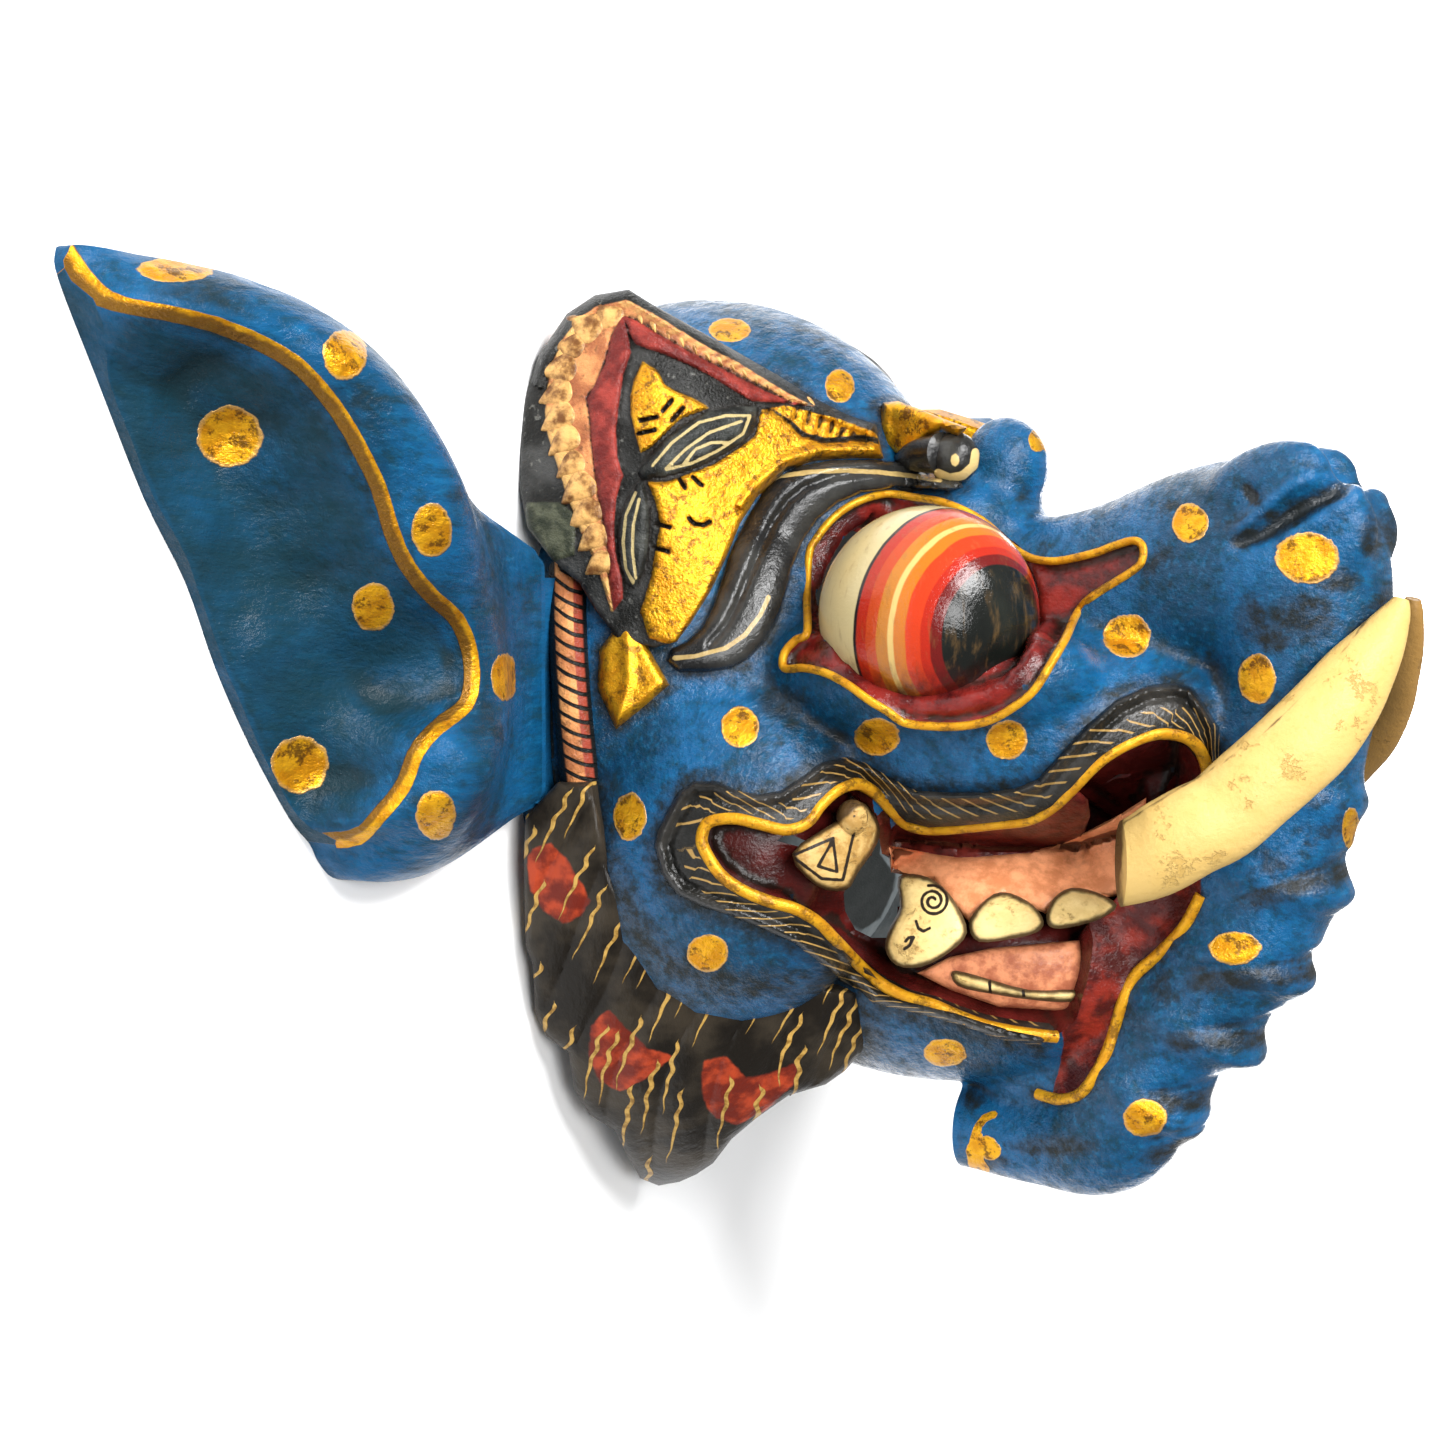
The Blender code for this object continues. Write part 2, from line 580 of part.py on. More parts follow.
def head(stuff):
    soft = shaped(fuse(joined("soft", soft_forms()), SOFT_VOXEL, 8))
    skin = on_skin(BVHTree.FromBMesh(soft))
    panel = between(on_ellipsoid((0, 30, 0), (82.5, 134, 96)), skin, -20, 30)
    beard = on_ellipsoid((0, -10, 0), (89, 106, 90))
    mouth = MOUTH_TOP + MOUTH_END + LOWER_LIP
    band = BAND_TOP + list(reversed(MOUTH_TOP)) + list(reversed(LOWER_LIP)) + list(reversed(BAND_LOW))

    carved = [soft]
    carved += both(patch(panel, PANEL, 0.8, CROWN_THICKNESS / SHARE + 5))
    carved += both(patch(beard, BEARD, 0.5, BEARD_THICKNESS / SHARE - 0.5))
    carved += both(patch(skin, band, 2.2, 4, grid=4))
    carved += both(bead(skin, ROPE, 4.6, lift=0.5))
    carved += both(patch(skin, PENDANT, 3, 4))
    carved += both(bead(skin, BROW, BROW_WIDTHS, lift=1.0))
    carved += both(ball((-18, 67.6, 87), (6.4, 6.4, 6.4), detail=2))
    obj = fuse(joined("carved", carved), CARVED_VOXEL, 2)
    carved = shaped(obj)

    obj = joined("opened", [carved])
    across, up, reach, sunk = EYE_SEAT
    turns = [math.tau * k / 24 for k in range(24)]
    seat = [(across + reach * math.cos(a), up + reach * math.sin(a)) for a in turns]
    recess = both(patch(skin, mouth, 14, MOUTH_DEPTH / SHARE, grid=4)) + both(patch(skin, EYE, 5, 2.5))
    recess += both(patch(skin, seat, 5, sunk))
    cutter = cut(obj, "recess", [clean(recess)])
    opened = shaped(obj)
    drop(cutter)

    inner = [opened]
    inner += both(ball((-45, 29, 91), (26, 26, 26)))
    inner += both(bead(skin, EYE, 1.5, lift=-0.3, closed=True))
    inner += both(bead(skin, MOUTH_TOP + [(129.5, -20)], 2.0, lift=0.8))
    inner += both(bead(skin, LOWER_LIP, 2.0, lift=0.8))
    inner += both(bead(skin, TRUNK_LINE, 1.4, lift=0.3))
    inner += both(patch(skin, UPPER_GUM, -2.5, 18))
    inner += both(patch(skin, CANINE, 3, 14))
    for tooth in INCISORS:
        inner += both(patch(skin, tooth, 1.5, 14))
    inner += both(patch(skin, BACK_FANG, -2, 18))
    inner += both(patch(skin, LOWER_GUM, -6, 18))
    inner += both(patch(skin, LOWER_TEETH, -3.5, 14))
    inner += both(blade(TUSK))
    obj = fuse(joined("inner", inner), CARVED_VOXEL, 1)
    obj = finished(obj, "head", HEAD_TRIANGLES, stuff)

    hollows = [
        block((-300, 300), (-200, 200), (-60, 0)),
        ball((0, 5.2, 0.7), (68, 88, 77.3), turn_x=3),
        ball((0, 38.3, 1.1), (45, 56, 45), turn_x=-4),
        ball((0, -30, 60.3), (32, 30, 31), turn_x=2),
        block((-16, 16), (-130, -88.5), (30, 84.5)),
    ]
    (x0, x1), (y0, y1), (z0, z1) = EAR_ROOT
    gap = EAR_GAP / SHARE
    hollows += both(block((x0 - 30, x1 + gap), (y0 - gap, y1 + gap), (z0 - 30, z1 + gap)))
    (x0, x1), (y0, y1), (z0, z1) = EAR_SEAT
    hollows += both(block((x0, x1 + gap), (y0, y1), (z0, z1)))
    for hole, depth in ((BACK_HOLE, 46), (SIDE_HOLE, 50), (FRONT_HOLE, 27)):
        hollows += both(plug(skin, hole, 14, depth))
    cutters = [cut(obj, f"hollow {k}", [hollow]) for k, hollow in enumerate(hollows)]
    made = shaped(obj)
    drop(*cutters)
    keep_largest(made)
    bmesh.ops.triangulate(made, faces=made.faces)
    obj = joined("head", [made])
    obj.data.materials.append(stuff)
    return obj


def thin_plate(known):
    """A smooth front through known points: gives its height at a place."""
    flat = np.array([tuple(p.xy / SHARE) for p in known])
    count = len(known)

    def bend(away):
        return away**2 * np.log(away + 1e-9)

    side = np.column_stack([np.ones(count), flat])
    whole = np.zeros((count + 3, count + 3))
    whole[:count, :count] = bend(np.linalg.norm(flat[:, None] - flat[None], axis=2))
    whole[:count, count:] = side
    whole[count:, :count] = side.T
    heights = np.array([p.z / SHARE for p in known] + [0.0, 0.0, 0.0])
    weights = np.linalg.solve(whole, heights)

    def find(spot):
        place_there = np.array(tuple(spot)) / SHARE
        away = np.linalg.norm(flat - place_there, axis=1)
        tall = bend(away) @ weights[:count] + weights[count] + place_there @ weights[count + 1 :]
        return max(float(tall), 1.2) * SHARE

    return find


def ear(name, side, stuff):
    outline, ridge, hollow = (
        [seen_at_height(p[:2], p[2]) for p in points] for points in (EAR_OUTLINE, EAR_RIDGE, EAR_HOLLOW)
    )
    corners, faces = filled([p.xy for p in outline], [[p.xy for p in ridge]], grid=EAR_GRID)
    front = thin_plate(outline + ridge + hollow)
    fronts = [Vector((*p, front(p))) for p in corners]
    backs = [Vector((*p, 0.0)) for p in corners]
    board = slab(corners, faces, fronts, backs)
    beside = block((EAR_BOARD_START, 0), (-100, 150), (-50, 90))
    root = block(*EAR_ROOT)
    if side < 0:
        board, beside, root = mirrored(board), mirrored(beside), mirrored(root)
    obj = joined(name, [board])
    cutters = [cut(obj, "beside", [beside]), cut(obj, "root", [root], "UNION")]
    made = shaped(obj)
    drop(*cutters)
    bmesh.ops.triangulate(made, faces=made.faces)
    obj = joined(name, [made])
    obj.data.materials.append(stuff)
    return obj


def main():
    clear_scene()
    head(material("head_paint", (0.02, 0.13, 0.30), 0.32))
    for name, side in SIDES.items():
        ear(f"ear_{name}", side, material(f"ear_{name}_paint", (0.02, 0.14, 0.32), 0.35))
    for obj in bpy.data.objects:
        obj.data.transform(Matrix.Translation((0.0, OUTLINE_LIFT, 0.0)))


main()
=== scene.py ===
"""A carved and painted wooden elephant-head mask that lies on its open back, seen from above."""

import math

import bmesh
import bpy
import numpy as np
from mathutils import Matrix, Vector
from mathutils.bvhtree import BVHTree
from mathutils.geometry import delaunay_2d_cdt


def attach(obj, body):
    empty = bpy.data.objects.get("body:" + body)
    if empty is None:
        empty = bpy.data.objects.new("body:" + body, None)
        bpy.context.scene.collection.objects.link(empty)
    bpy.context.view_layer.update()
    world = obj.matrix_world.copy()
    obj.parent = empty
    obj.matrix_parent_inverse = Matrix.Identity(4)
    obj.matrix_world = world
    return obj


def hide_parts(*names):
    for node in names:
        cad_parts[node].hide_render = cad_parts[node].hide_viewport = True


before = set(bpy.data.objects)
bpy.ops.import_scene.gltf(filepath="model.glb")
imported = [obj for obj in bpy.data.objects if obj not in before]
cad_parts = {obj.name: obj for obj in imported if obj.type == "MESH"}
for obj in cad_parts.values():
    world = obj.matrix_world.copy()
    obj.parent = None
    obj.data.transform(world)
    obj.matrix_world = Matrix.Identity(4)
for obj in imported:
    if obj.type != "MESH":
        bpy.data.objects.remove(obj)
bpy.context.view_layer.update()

# The view: from the mask's right side, a little above it, with the crown up
EYE_POINT = Vector((-0.5834, 0.0376, 0.2996))
VIEW_MIDDLE = Vector((0.0, 0.0036, 0.0150))
LENS = 60.73
SENSOR = 36.0

# The drawing's plane goes through the view's middle and faces the camera. Drawn places are in mm.
BACK = (VIEW_MIDDLE - EYE_POINT).normalized()
ACROSS = BACK.cross(Vector((0.0, 1.0, 0.0))).normalized()
UPWARD = ACROSS.cross(BACK)
VIEW_DISTANCE = (VIEW_MIDDLE - EYE_POINT).length
# How far the carving's own zero lies from the row's origin along Y, in mm
LIFT = 3.6

# Lengths in the tables are in mm, and those of the meshes in metres
MM = 0.001
TO_MM = 1000.0
SKIN_VOXEL = 0.0013
CUT_VOXEL = 0.0012
# A face this near to a cutter's surface was cut by it
CUT_NEAR = 0.00012
PETAL_SEED = 5
# What a field of distances says where nothing is near
FAR = 9.0


def place(x, y, z):
    """A point of the carving, given in mm."""
    return Vector((x, y + LIFT, z)) * MM


def smooth_path(points, steps, closed=False):
    """Points read from a smooth curve through the given ones (Catmull-Rom)."""
    points = [Vector(p) for p in points]
    count = len(points)
    made = []
    for i in range(count if closed else count - 1):
        if closed:
            a, b, c, d = (points[(i + k) % count] for k in (-1, 0, 1, 2))
        else:
            a, b, c, d = (points[min(max(i + k, 0), count - 1)] for k in (-1, 0, 1, 2))
        for step in range(steps):
            t = step / steps
            bend = (2 * a - 5 * b + 4 * c - d) * t**2 + (3 * b - a - 3 * c + d) * t**3
            made.append(0.5 * (2 * b + (c - a) * t + bend))
    if not closed:
        made.append(points[-1])
    return made


def smooth_drawn(points, steps, closed=False):
    """The same for drawn places."""
    return [tuple(p)[:2] for p in smooth_path([(*p, 0) for p in points], steps, closed)]


def sight_ray(drawn):
    """The line of sight through a drawn place: its start and direction."""
    target = VIEW_MIDDLE + (ACROSS * drawn[0] + UPWARD * drawn[1]) * MM
    return EYE_POINT, (target - EYE_POINT).normalized()


def seen_at(drawn, x):
    """The point at sideways place x, in mm, that is seen at a drawn place."""
    start, direction = sight_ray(drawn)
    return start + direction * ((x * MM - start.x) / direction.x)


def seen_at_height(drawn, z):
    """The point at height z, in mm, that is seen at a drawn place."""
    start, direction = sight_ray(drawn)
    return start + direction * ((z * MM - start.z) / direction.z)


def drawn_places(points):
    """Where points are seen on the drawing, with those of the left side seen as on the right."""
    away = np.array(points, dtype=float)
    away[:, 0] = -np.abs(away[:, 0])
    away = away - np.array(EYE_POINT)
    depth = away @ np.array(BACK)
    scale = VIEW_DISTANCE * TO_MM / depth
    return np.column_stack([away @ np.array(ACROSS) * scale, away @ np.array(UPWARD) * scale])


# Distances, for carving and paint


def to_line(points, line, closed=False):
    """Each point's distance to a line of points, and how far along the line the nearest place is."""
    points = np.asarray(points, dtype=float)
    line = np.array([tuple(p) for p in line], dtype=float)
    if closed:
        line = np.vstack([line, line[:1]])
    best = np.full(len(points), 1e9)
    along = np.zeros(len(points))
    gone = 0.0
    for a, b in zip(line, line[1:]):
        length = np.linalg.norm(b - a)
        if length < 1e-9:
            continue
        share = np.clip((points - a) @ (b - a) / length**2, 0.0, 1.0)
        away = np.linalg.norm(points - a - share[:, None] * (b - a), axis=1)
        nearer = away < best
        best[nearer] = away[nearer]
        along[nearer] = (gone + share * length)[nearer]
        gone += length
    return best, along


def within(points, loop):
    """Whether each drawn place lies inside a drawn loop."""
    points = np.asarray(points, dtype=float)
    crossings = np.zeros(len(points), dtype=bool)
    loop = [tuple(p) for p in loop]
    for (x0, y0), (x1, y1) in zip(loop, loop[1:] + loop[:1]):
        if y0 == y1:
            continue
        spans = (y0 > points[:, 1]) != (y1 > points[:, 1])
        crossings ^= spans & (points[:, 0] < (x1 - x0) * (points[:, 1] - y0) / (y1 - y0) + x0)
    return crossings


def to_edge(points, loop):
    """Each drawn place's distance to a loop's edge, below zero inside it."""
    away, _ = to_line(points, loop, closed=True)
    return np.where(within(points, loop), -away, away)


def ease(values, low, high):
    """Goes over smoothly from 0 to 1 as the values go from low to high."""
    share = np.clip((values - low) / (high - low), 0.0, 1.0)
    return share * share * (3.0 - 2.0 * share)


# Basic solids, each a bmesh with its faces pointing out


def ball(centre, radii, turn_x=0.0, detail=4):
    """An ellipsoid. turn_x tips it about the X axis, in degrees."""
    made = bmesh.new()
    bmesh.ops.create_icosphere(made, subdivisions=detail, radius=1.0)
    shape = Matrix.Diagonal(Vector(radii) * MM).to_4x4()
    tip = Matrix.Rotation(math.radians(turn_x), 4, "X")
    made.transform(Matrix.Translation(place(*centre)) @ tip @ shape)
    return made


def sweep(path, radii, sides=14):
    """A round bar along a path, with a rounded end at each end."""
    made = bmesh.new()
    count = len(path)
    rings = []
    side = None
    for i, centre in enumerate(path):
        along = (path[min(i + 1, count - 1)] - path[max(i - 1, 0)]).normalized()
        side = along.orthogonal() if side is None else side - along * side.dot(along)
        side = side.normalized()
        other = along.cross(side)
        rings.append(
            [
                made.verts.new(centre + (side * math.cos(a) + other * math.sin(a)) * radii[i])
                for a in (math.tau * k / sides for k in range(sides))
            ]
        )
    for low, high in zip(rings, rings[1:]):
        for k in range(sides):
            made.faces.new((low[k], low[(k + 1) % sides], high[(k + 1) % sides], high[k]))
    for ring, end, before in ((rings[0], 0, 1), (rings[-1], count - 1, count - 2)):
        tip = made.verts.new(path[end] + (path[end] - path[before]).normalized() * radii[end] * 0.6)
        for k in range(sides):
            made.faces.new((ring[k], ring[(k + 1) % sides], tip))
    bmesh.ops.recalc_face_normals(made, faces=made.faces)
    return made


def bar(points, steps=8, sides=32):
    """A round bar through (x, y, z, radius) points of the carving."""
    smooth = smooth_path([place(*p[:3]) for p in points], steps)
    widths = smooth_path([Vector((p[3], 0, 0)) for p in points], steps)
    return sweep(smooth, [w.x * MM for w in widths], sides)


def block(x, y, z):
    """A box between (low, high) places of the carving."""
    made = bmesh.new()
    bmesh.ops.create_cube(made, size=1.0)
    size = Vector((x[1] - x[0], y[1] - y[0], z[1] - z[0]))
    middle = place((x[0] + x[1]) / 2, (y[0] + y[1]) / 2, (z[0] + z[1]) / 2)
    made.transform(Matrix.Translation(middle) @ Matrix.Diagonal(size * MM).to_4x4())
    return made


def mirrored(shape):
    """The same solid on the mask's left side."""
    made = shape.copy()
    made.transform(Matrix.Diagonal((-1.0, 1.0, 1.0, 1.0)))
    bmesh.ops.reverse_faces(made, faces=made.faces)
    return made


def both(shape):
    """A solid and its mirror image."""
    return [shape, mirrored(shape)]


def on_left(points):
    """The same points or directions on the mask's left side."""
    return [Vector((-p.x, p.y, p.z)) for p in points]


# Surfaces: each gives the point and the outward direction that are seen at a drawn place


def on_ellipsoid(centre, radii):
    """A line of sight that misses it gives the place where it passes nearest."""
    centre = place(*centre)
    radii = Vector(radii) * MM

    def find(drawn):
        start, direction = sight_ray(drawn)
        offset = Vector((start - centre)[k] / radii[k] for k in range(3))
        slope = Vector(direction[k] / radii[k] for k in range(3))
        a, b, c = slope.dot(slope), offset.dot(slope), offset.dot(offset) - 1.0
        root = max(b * b - a * c, 0.0)
        point = start + direction * ((-b - math.sqrt(root)) / a)
        normal = Vector((point - centre)[k] / radii[k] ** 2 for k in range(3)).normalized()
        return point, normal

    return find


def on_skin(tree):
    """A line of sight that misses the skin gives the nearest place on it."""

    def find(drawn):
        start, direction = sight_ray(drawn)
        point, normal, _, _ = tree.ray_cast(start, direction)
        if point is not None:
            return point, normal
        steps = [start + direction * (0.40 + 0.005 * k) for k in range(90)]
        nearest = min((tree.find_nearest(step) for step in steps), key=lambda found: found[3])
        return nearest[0], nearest[1]

    return find


def between(first, second, low, high):
    """A surface that goes over from the first to the second as the drawn place moves across."""

    def find(drawn):
        share = min(max((drawn[0] - low) / (high - low), 0.0), 1.0)
        share = share * share * (3 - 2 * share)
        (p, n), (q, m) = first(drawn), second(drawn)
        return p.lerp(q, share), n.lerp(m, share).normalized()

    return find


def filled(loop, lines=(), grid=5.0):
    """Triangles that fill a drawn outline: their points and corner numbers. Lines stay as edges."""
    points = [Vector(p) for p in loop]
    edges = [(k, (k + 1) % len(loop)) for k in range(len(loop))]
    for line in lines:
        first = len(points)
        points += [Vector(p) for p in line]
        edges += [(k, k + 1) for k in range(first, len(points) - 1)]
    outline = np.array([tuple(p) for p in loop])
    low, high = outline.min(axis=0), outline.max(axis=0)
    rows = np.arange(int((high[1] - low[1]) / grid) + 1)
    columns = np.arange(int((high[0] - low[0]) / grid) + 1)
    row, column = (values.ravel() for values in np.meshgrid(rows, columns, indexing="ij"))
    spots = np.column_stack([low[0] + (column + 0.5 * (row % 2)) * grid, low[1] + row * grid])
    clear = to_edge(spots, loop) < -0.5 * grid
    for line in lines:
        clear &= to_line(spots, line)[0] > 0.5 * grid
    points += [Vector(p) for p in spots[clear]]
    corners, _, faces, _, _, _ = delaunay_2d_cdt(points, edges, [], 1, 0.002 * grid)
    return corners, faces


def slab(faces, fronts, backs):
    """A solid between front and back points of the same triangles."""
    made = bmesh.new()
    top = [made.verts.new(p) for p in fronts]
    bottom = [made.verts.new(p) for p in backs]
    used = set()
    for face in faces:
        made.faces.new([top[k] for k in face])
        made.faces.new([bottom[k] for k in reversed(face)])
        used.update(zip(face, list(face[1:]) + [face[0]]))
    for a, b in sorted(used):
        if (b, a) not in used:
            made.faces.new((top[b], top[a], bottom[a], bottom[b]))
    loose = [v for v in made.verts if not v.link_faces]
    bmesh.ops.delete(made, geom=loose, context="VERTS")
    bmesh.ops.recalc_face_normals(made, faces=made.faces)
    return made


def patch(surface, loop, raised, sunk, grid=5.0):
    """A piece that follows a surface within a drawn outline, raised over it and sunk into it."""
    corners, faces = filled(loop, grid=grid)
    found = [surface(p) for p in corners]
    fronts = [p + n * raised * MM for p, n in found]
    backs = [p - n * sunk * MM for p, n in found]
    return slab(faces, fronts, backs)


def relief(surface, loop, height, sunk, grid=0.8, straight=False):
    """A carved piece over a surface within a drawn outline. height gives mm for drawn places.

    A straight one is sunk along the line of sight, and not square to the surface."""
    corners, faces = filled(loop, grid=grid)
    heights = height(np.array([tuple(p) for p in corners]))
    fronts = []
    backs = []
    for drawn, tall in zip(corners, heights):
        point, normal = surface(drawn)
        _, direction = sight_ray(drawn)
        facing = max(-normal.dot(direction), 0.35)
        fronts.append(point - direction * (float(tall) * MM / facing))
        backs.append(point + (direction if straight else -normal) * sunk * MM)
    return slab(faces, fronts, backs)


def off_floor(shape):
    """Cuts away what would reach under the floor."""
    geometry = shape.verts[:] + shape.edges[:] + shape.faces[:]
    bmesh.ops.bisect_plane(shape, geom=geometry, plane_co=(0, 0, 0), plane_no=(0, 0, 1), clear_inner=True)
    bmesh.ops.holes_fill(shape, edges=[e for e in shape.edges if len(e.link_faces) == 1], sides=0)
    bmesh.ops.triangulate(shape, faces=[f for f in shape.faces if len(f.verts) > 4])
    return shape


def plug(surface, loop, before, beyond):
    """A straight plug along the lines of sight, from before a surface to beyond it."""
    far = [(surface(p)[0] - EYE_POINT).length for p in loop]
    middle = sum(far) / len(far)
    corners, faces = filled(loop, grid=99)
    rays = [sight_ray(p) for p in corners]
    fronts = [start + direction * (middle - before * MM) for start, direction in rays]
    backs = [start + direction * (middle + beyond * MM) for start, direction in rays]
    return slab(faces, fronts, backs)


def bead(surface, line, radii, lift=0.0, closed=False, steps=4, sides=10):
    """A round bar that lies along a drawn line on a surface."""
    widths = list(radii) if isinstance(radii, (list, tuple)) else [radii] * len(line)
    path = []
    for drawn in line:
        point, normal = surface(drawn)
        path.append(point + normal * lift * MM)
    if closed:
        path.append(path[0])
        widths = widths + [widths[0]]
    smooth = smooth_path(path, steps)
    wide = smooth_path([Vector((w, 0, 0)) for w in widths], steps)
    return sweep(smooth, [w.x * MM for w in wide], sides)


def joined(name, shapes):
    """One object that holds every given solid. The solids are freed."""
    whole = bmesh.new()
    for shape in shapes:
        part = bpy.data.meshes.new("part")
        shape.to_mesh(part)
        shape.free()
        whole.from_mesh(part)
        bpy.data.meshes.remove(part)
    mesh = bpy.data.meshes.new(name)
    whole.to_mesh(mesh)
    whole.free()
    obj = bpy.data.objects.new(name, mesh)
    bpy.context.scene.collection.objects.link(obj)
    return obj


def shaped(obj):
    """The object's mesh as its modifiers leave it, as a bmesh. The object is removed."""
    bpy.context.view_layer.update()
    evaluated = obj.evaluated_get(bpy.context.evaluated_depsgraph_get())
    made = bmesh.new()
    made.from_mesh(evaluated.to_mesh())
    mesh = obj.data
    bpy.data.objects.remove(obj, do_unlink=True)
    bpy.data.meshes.remove(mesh)
    return made


def fuse(obj, voxel, smoothing):
    """Makes overlapping solids one skin, and softens where they meet."""
    remesh = obj.modifiers.new("fuse", "REMESH")
    remesh.mode = "VOXEL"
    remesh.voxel_size = voxel
    if smoothing:
        soften = obj.modifiers.new("soften", "SMOOTH")
        soften.factor = 0.5
        soften.iterations = smoothing
    return obj


def cut(obj, name, shapes):
    """Cuts solids from an object."""
    cutter = joined(name, shapes)
    cutter.hide_render = True
    boolean = obj.modifiers.new(name, "BOOLEAN")
    boolean.operation = "DIFFERENCE"
    boolean.solver = "MANIFOLD"
    boolean.object = cutter
    return cutter


def points_of(mesh):
    spots = np.empty(len(mesh.vertices) * 3)
    mesh.vertices.foreach_get("co", spots)
    return spots.reshape(-1, 3)


def drawn_of(obj):
    """Where an object's points are seen on the drawing."""
    return drawn_places(points_of(obj.data))


def keep(obj, name, values):
    """Stores one number for each corner point, for the paint to read."""
    field = obj.data.attributes.new(name, "FLOAT", "POINT")
    field.data.foreach_set("value", np.asarray(values, dtype=np.float32))


def store_hollowness(obj, rounds=4):
    """Stores how hollow the carving is at each point, for glaze and painted shade, and painted highlights."""
    mesh = obj.data
    spots = points_of(mesh)
    ends = np.empty(len(mesh.edges) * 2, dtype=int)
    mesh.edges.foreach_get("vertices", ends)
    ends = ends.reshape(-1, 2)
    count = np.bincount(ends.ravel(), minlength=len(spots)).clip(1)

    def spread(values):
        total = np.zeros_like(values)
        np.add.at(total, ends[:, 0], values[ends[:, 1]])
        np.add.at(total, ends[:, 1], values[ends[:, 0]])
        return total / (count[:, None] if values.ndim == 2 else count)

    normals = np.empty(len(spots) * 3)
    mesh.vertices.foreach_get("normal", normals)
    normals = normals.reshape(-1, 3)
    wide = spots
    for _ in range(rounds):
        wide = 0.5 * wide + 0.5 * spread(wide)
    hollow = np.einsum("ij,ij->i", wide - spots, normals) * TO_MM
    for _ in range(2):
        hollow = 0.5 * hollow + 0.5 * spread(hollow)
    keep(obj, "hollow", hollow)


def shade(obj, angle=40.0):
    """Smooth faces, with sharp edges where they meet at more than an angle in degrees."""
    mesh = obj.data
    mesh.polygons.foreach_set("use_smooth", np.ones(len(mesh.polygons), dtype=bool))
    mesh.set_sharp_from_angle(angle=math.radians(angle))
    return obj


# What follows a path: each is a tree of geometry nodes, made into a plain mesh


class Growth:
    """A tree of geometry nodes with named inputs."""

    def __init__(self, name, sizes):
        self.tree = bpy.data.node_groups.new(name, "GeometryNodeTree")
        face = self.tree.interface
        face.new_socket("Geometry", in_out="INPUT", socket_type="NodeSocketGeometry")
        for key in sizes:
            face.new_socket(key, in_out="INPUT", socket_type="NodeSocketFloat")
        face.new_socket("Finish", in_out="INPUT", socket_type="NodeSocketMaterial")
        face.new_socket("Geometry", in_out="OUTPUT", socket_type="NodeSocketGeometry")
        self.given = self.tree.nodes.new("NodeGroupInput").outputs
        self.names = {item.name: item.identifier for item in face.items_tree if item.in_out == "INPUT"}

    def put(self, kind, values=None, **settings):
        node = self.tree.nodes.new(kind)
        for key, value in settings.items():
            setattr(node, key, value)
        for key, value in (values or {}).items():
            if isinstance(value, bpy.types.NodeSocket):
                self.tree.links.new(value, node.inputs[key])
            else:
                node.inputs[key].default_value = value
        return node

    def end(self, geometry):
        real = self.put("GeometryNodeRealizeInstances", {"Geometry": geometry})
        smooth = self.put("GeometryNodeSetShadeSmooth", {"Geometry": real.outputs[0]})
        values = {"Geometry": smooth.outputs[0], "Material": self.given["Finish"]}
        finish = self.put("GeometryNodeSetMaterial", values)
        self.put("NodeGroupOutput", {"Geometry": finish.outputs[0]})
        return self

    def grow(self, obj, values):
        """Gives a new object with the tree's result for obj, and removes obj."""
        modifier = obj.modifiers.new("grow", "NODES")
        modifier.node_group = self.tree
        for key, value in values.items():
            modifier[self.names[key]] = value
        bpy.context.view_layer.update()
        evaluated = obj.evaluated_get(bpy.context.evaluated_depsgraph_get())
        mesh = bpy.data.meshes.new_from_object(evaluated)
        made = bpy.data.objects.new(obj.name, mesh)
        bpy.context.scene.collection.objects.link(made)
        obj.modifiers.remove(modifier)
        bpy.data.objects.remove(obj, do_unlink=True)
        return made


def wire(name, paths, facings=None):
    """An object of plain edges along paths, each (points, closed). facings say which way is out."""
    corners, edges = [], []
    for points, closed in paths:
        first = len(corners)
        corners += points
        edges += [(k, k + 1) for k in range(first, len(corners) - 1)]
        if closed:
            edges.append((len(corners) - 1, first))
    mesh = bpy.data.meshes.new(name)
    mesh.from_pydata(corners, edges, [])
    if facings:
        out = mesh.attributes.new("out", "FLOAT_VECTOR", "POINT")
        out.data.foreach_set("vector", [value for facing in facings for value in facing])
    obj = bpy.data.objects.new(name, mesh)
    bpy.context.scene.collection.objects.link(obj)
    return obj


def rim_growth():
    """A round bead along each path."""
    made = Growth("bead along a path", ("Radius", "Sides"))
    curve = made.put("GeometryNodeMeshToCurve", {"Mesh": made.given["Geometry"]})
    sides = made.put("FunctionNodeFloatToInt", {"Float": made.given["Sides"]})
    values = {"Resolution": sides.outputs[0], "Radius": made.given["Radius"]}
    ring = made.put("GeometryNodeCurvePrimitiveCircle", values)
    values = {"Curve": curve.outputs[0], "Profile Curve": ring.outputs[0], "Fill Caps": True}
    return made.end(made.put("GeometryNodeCurveToMesh", values).outputs[0])


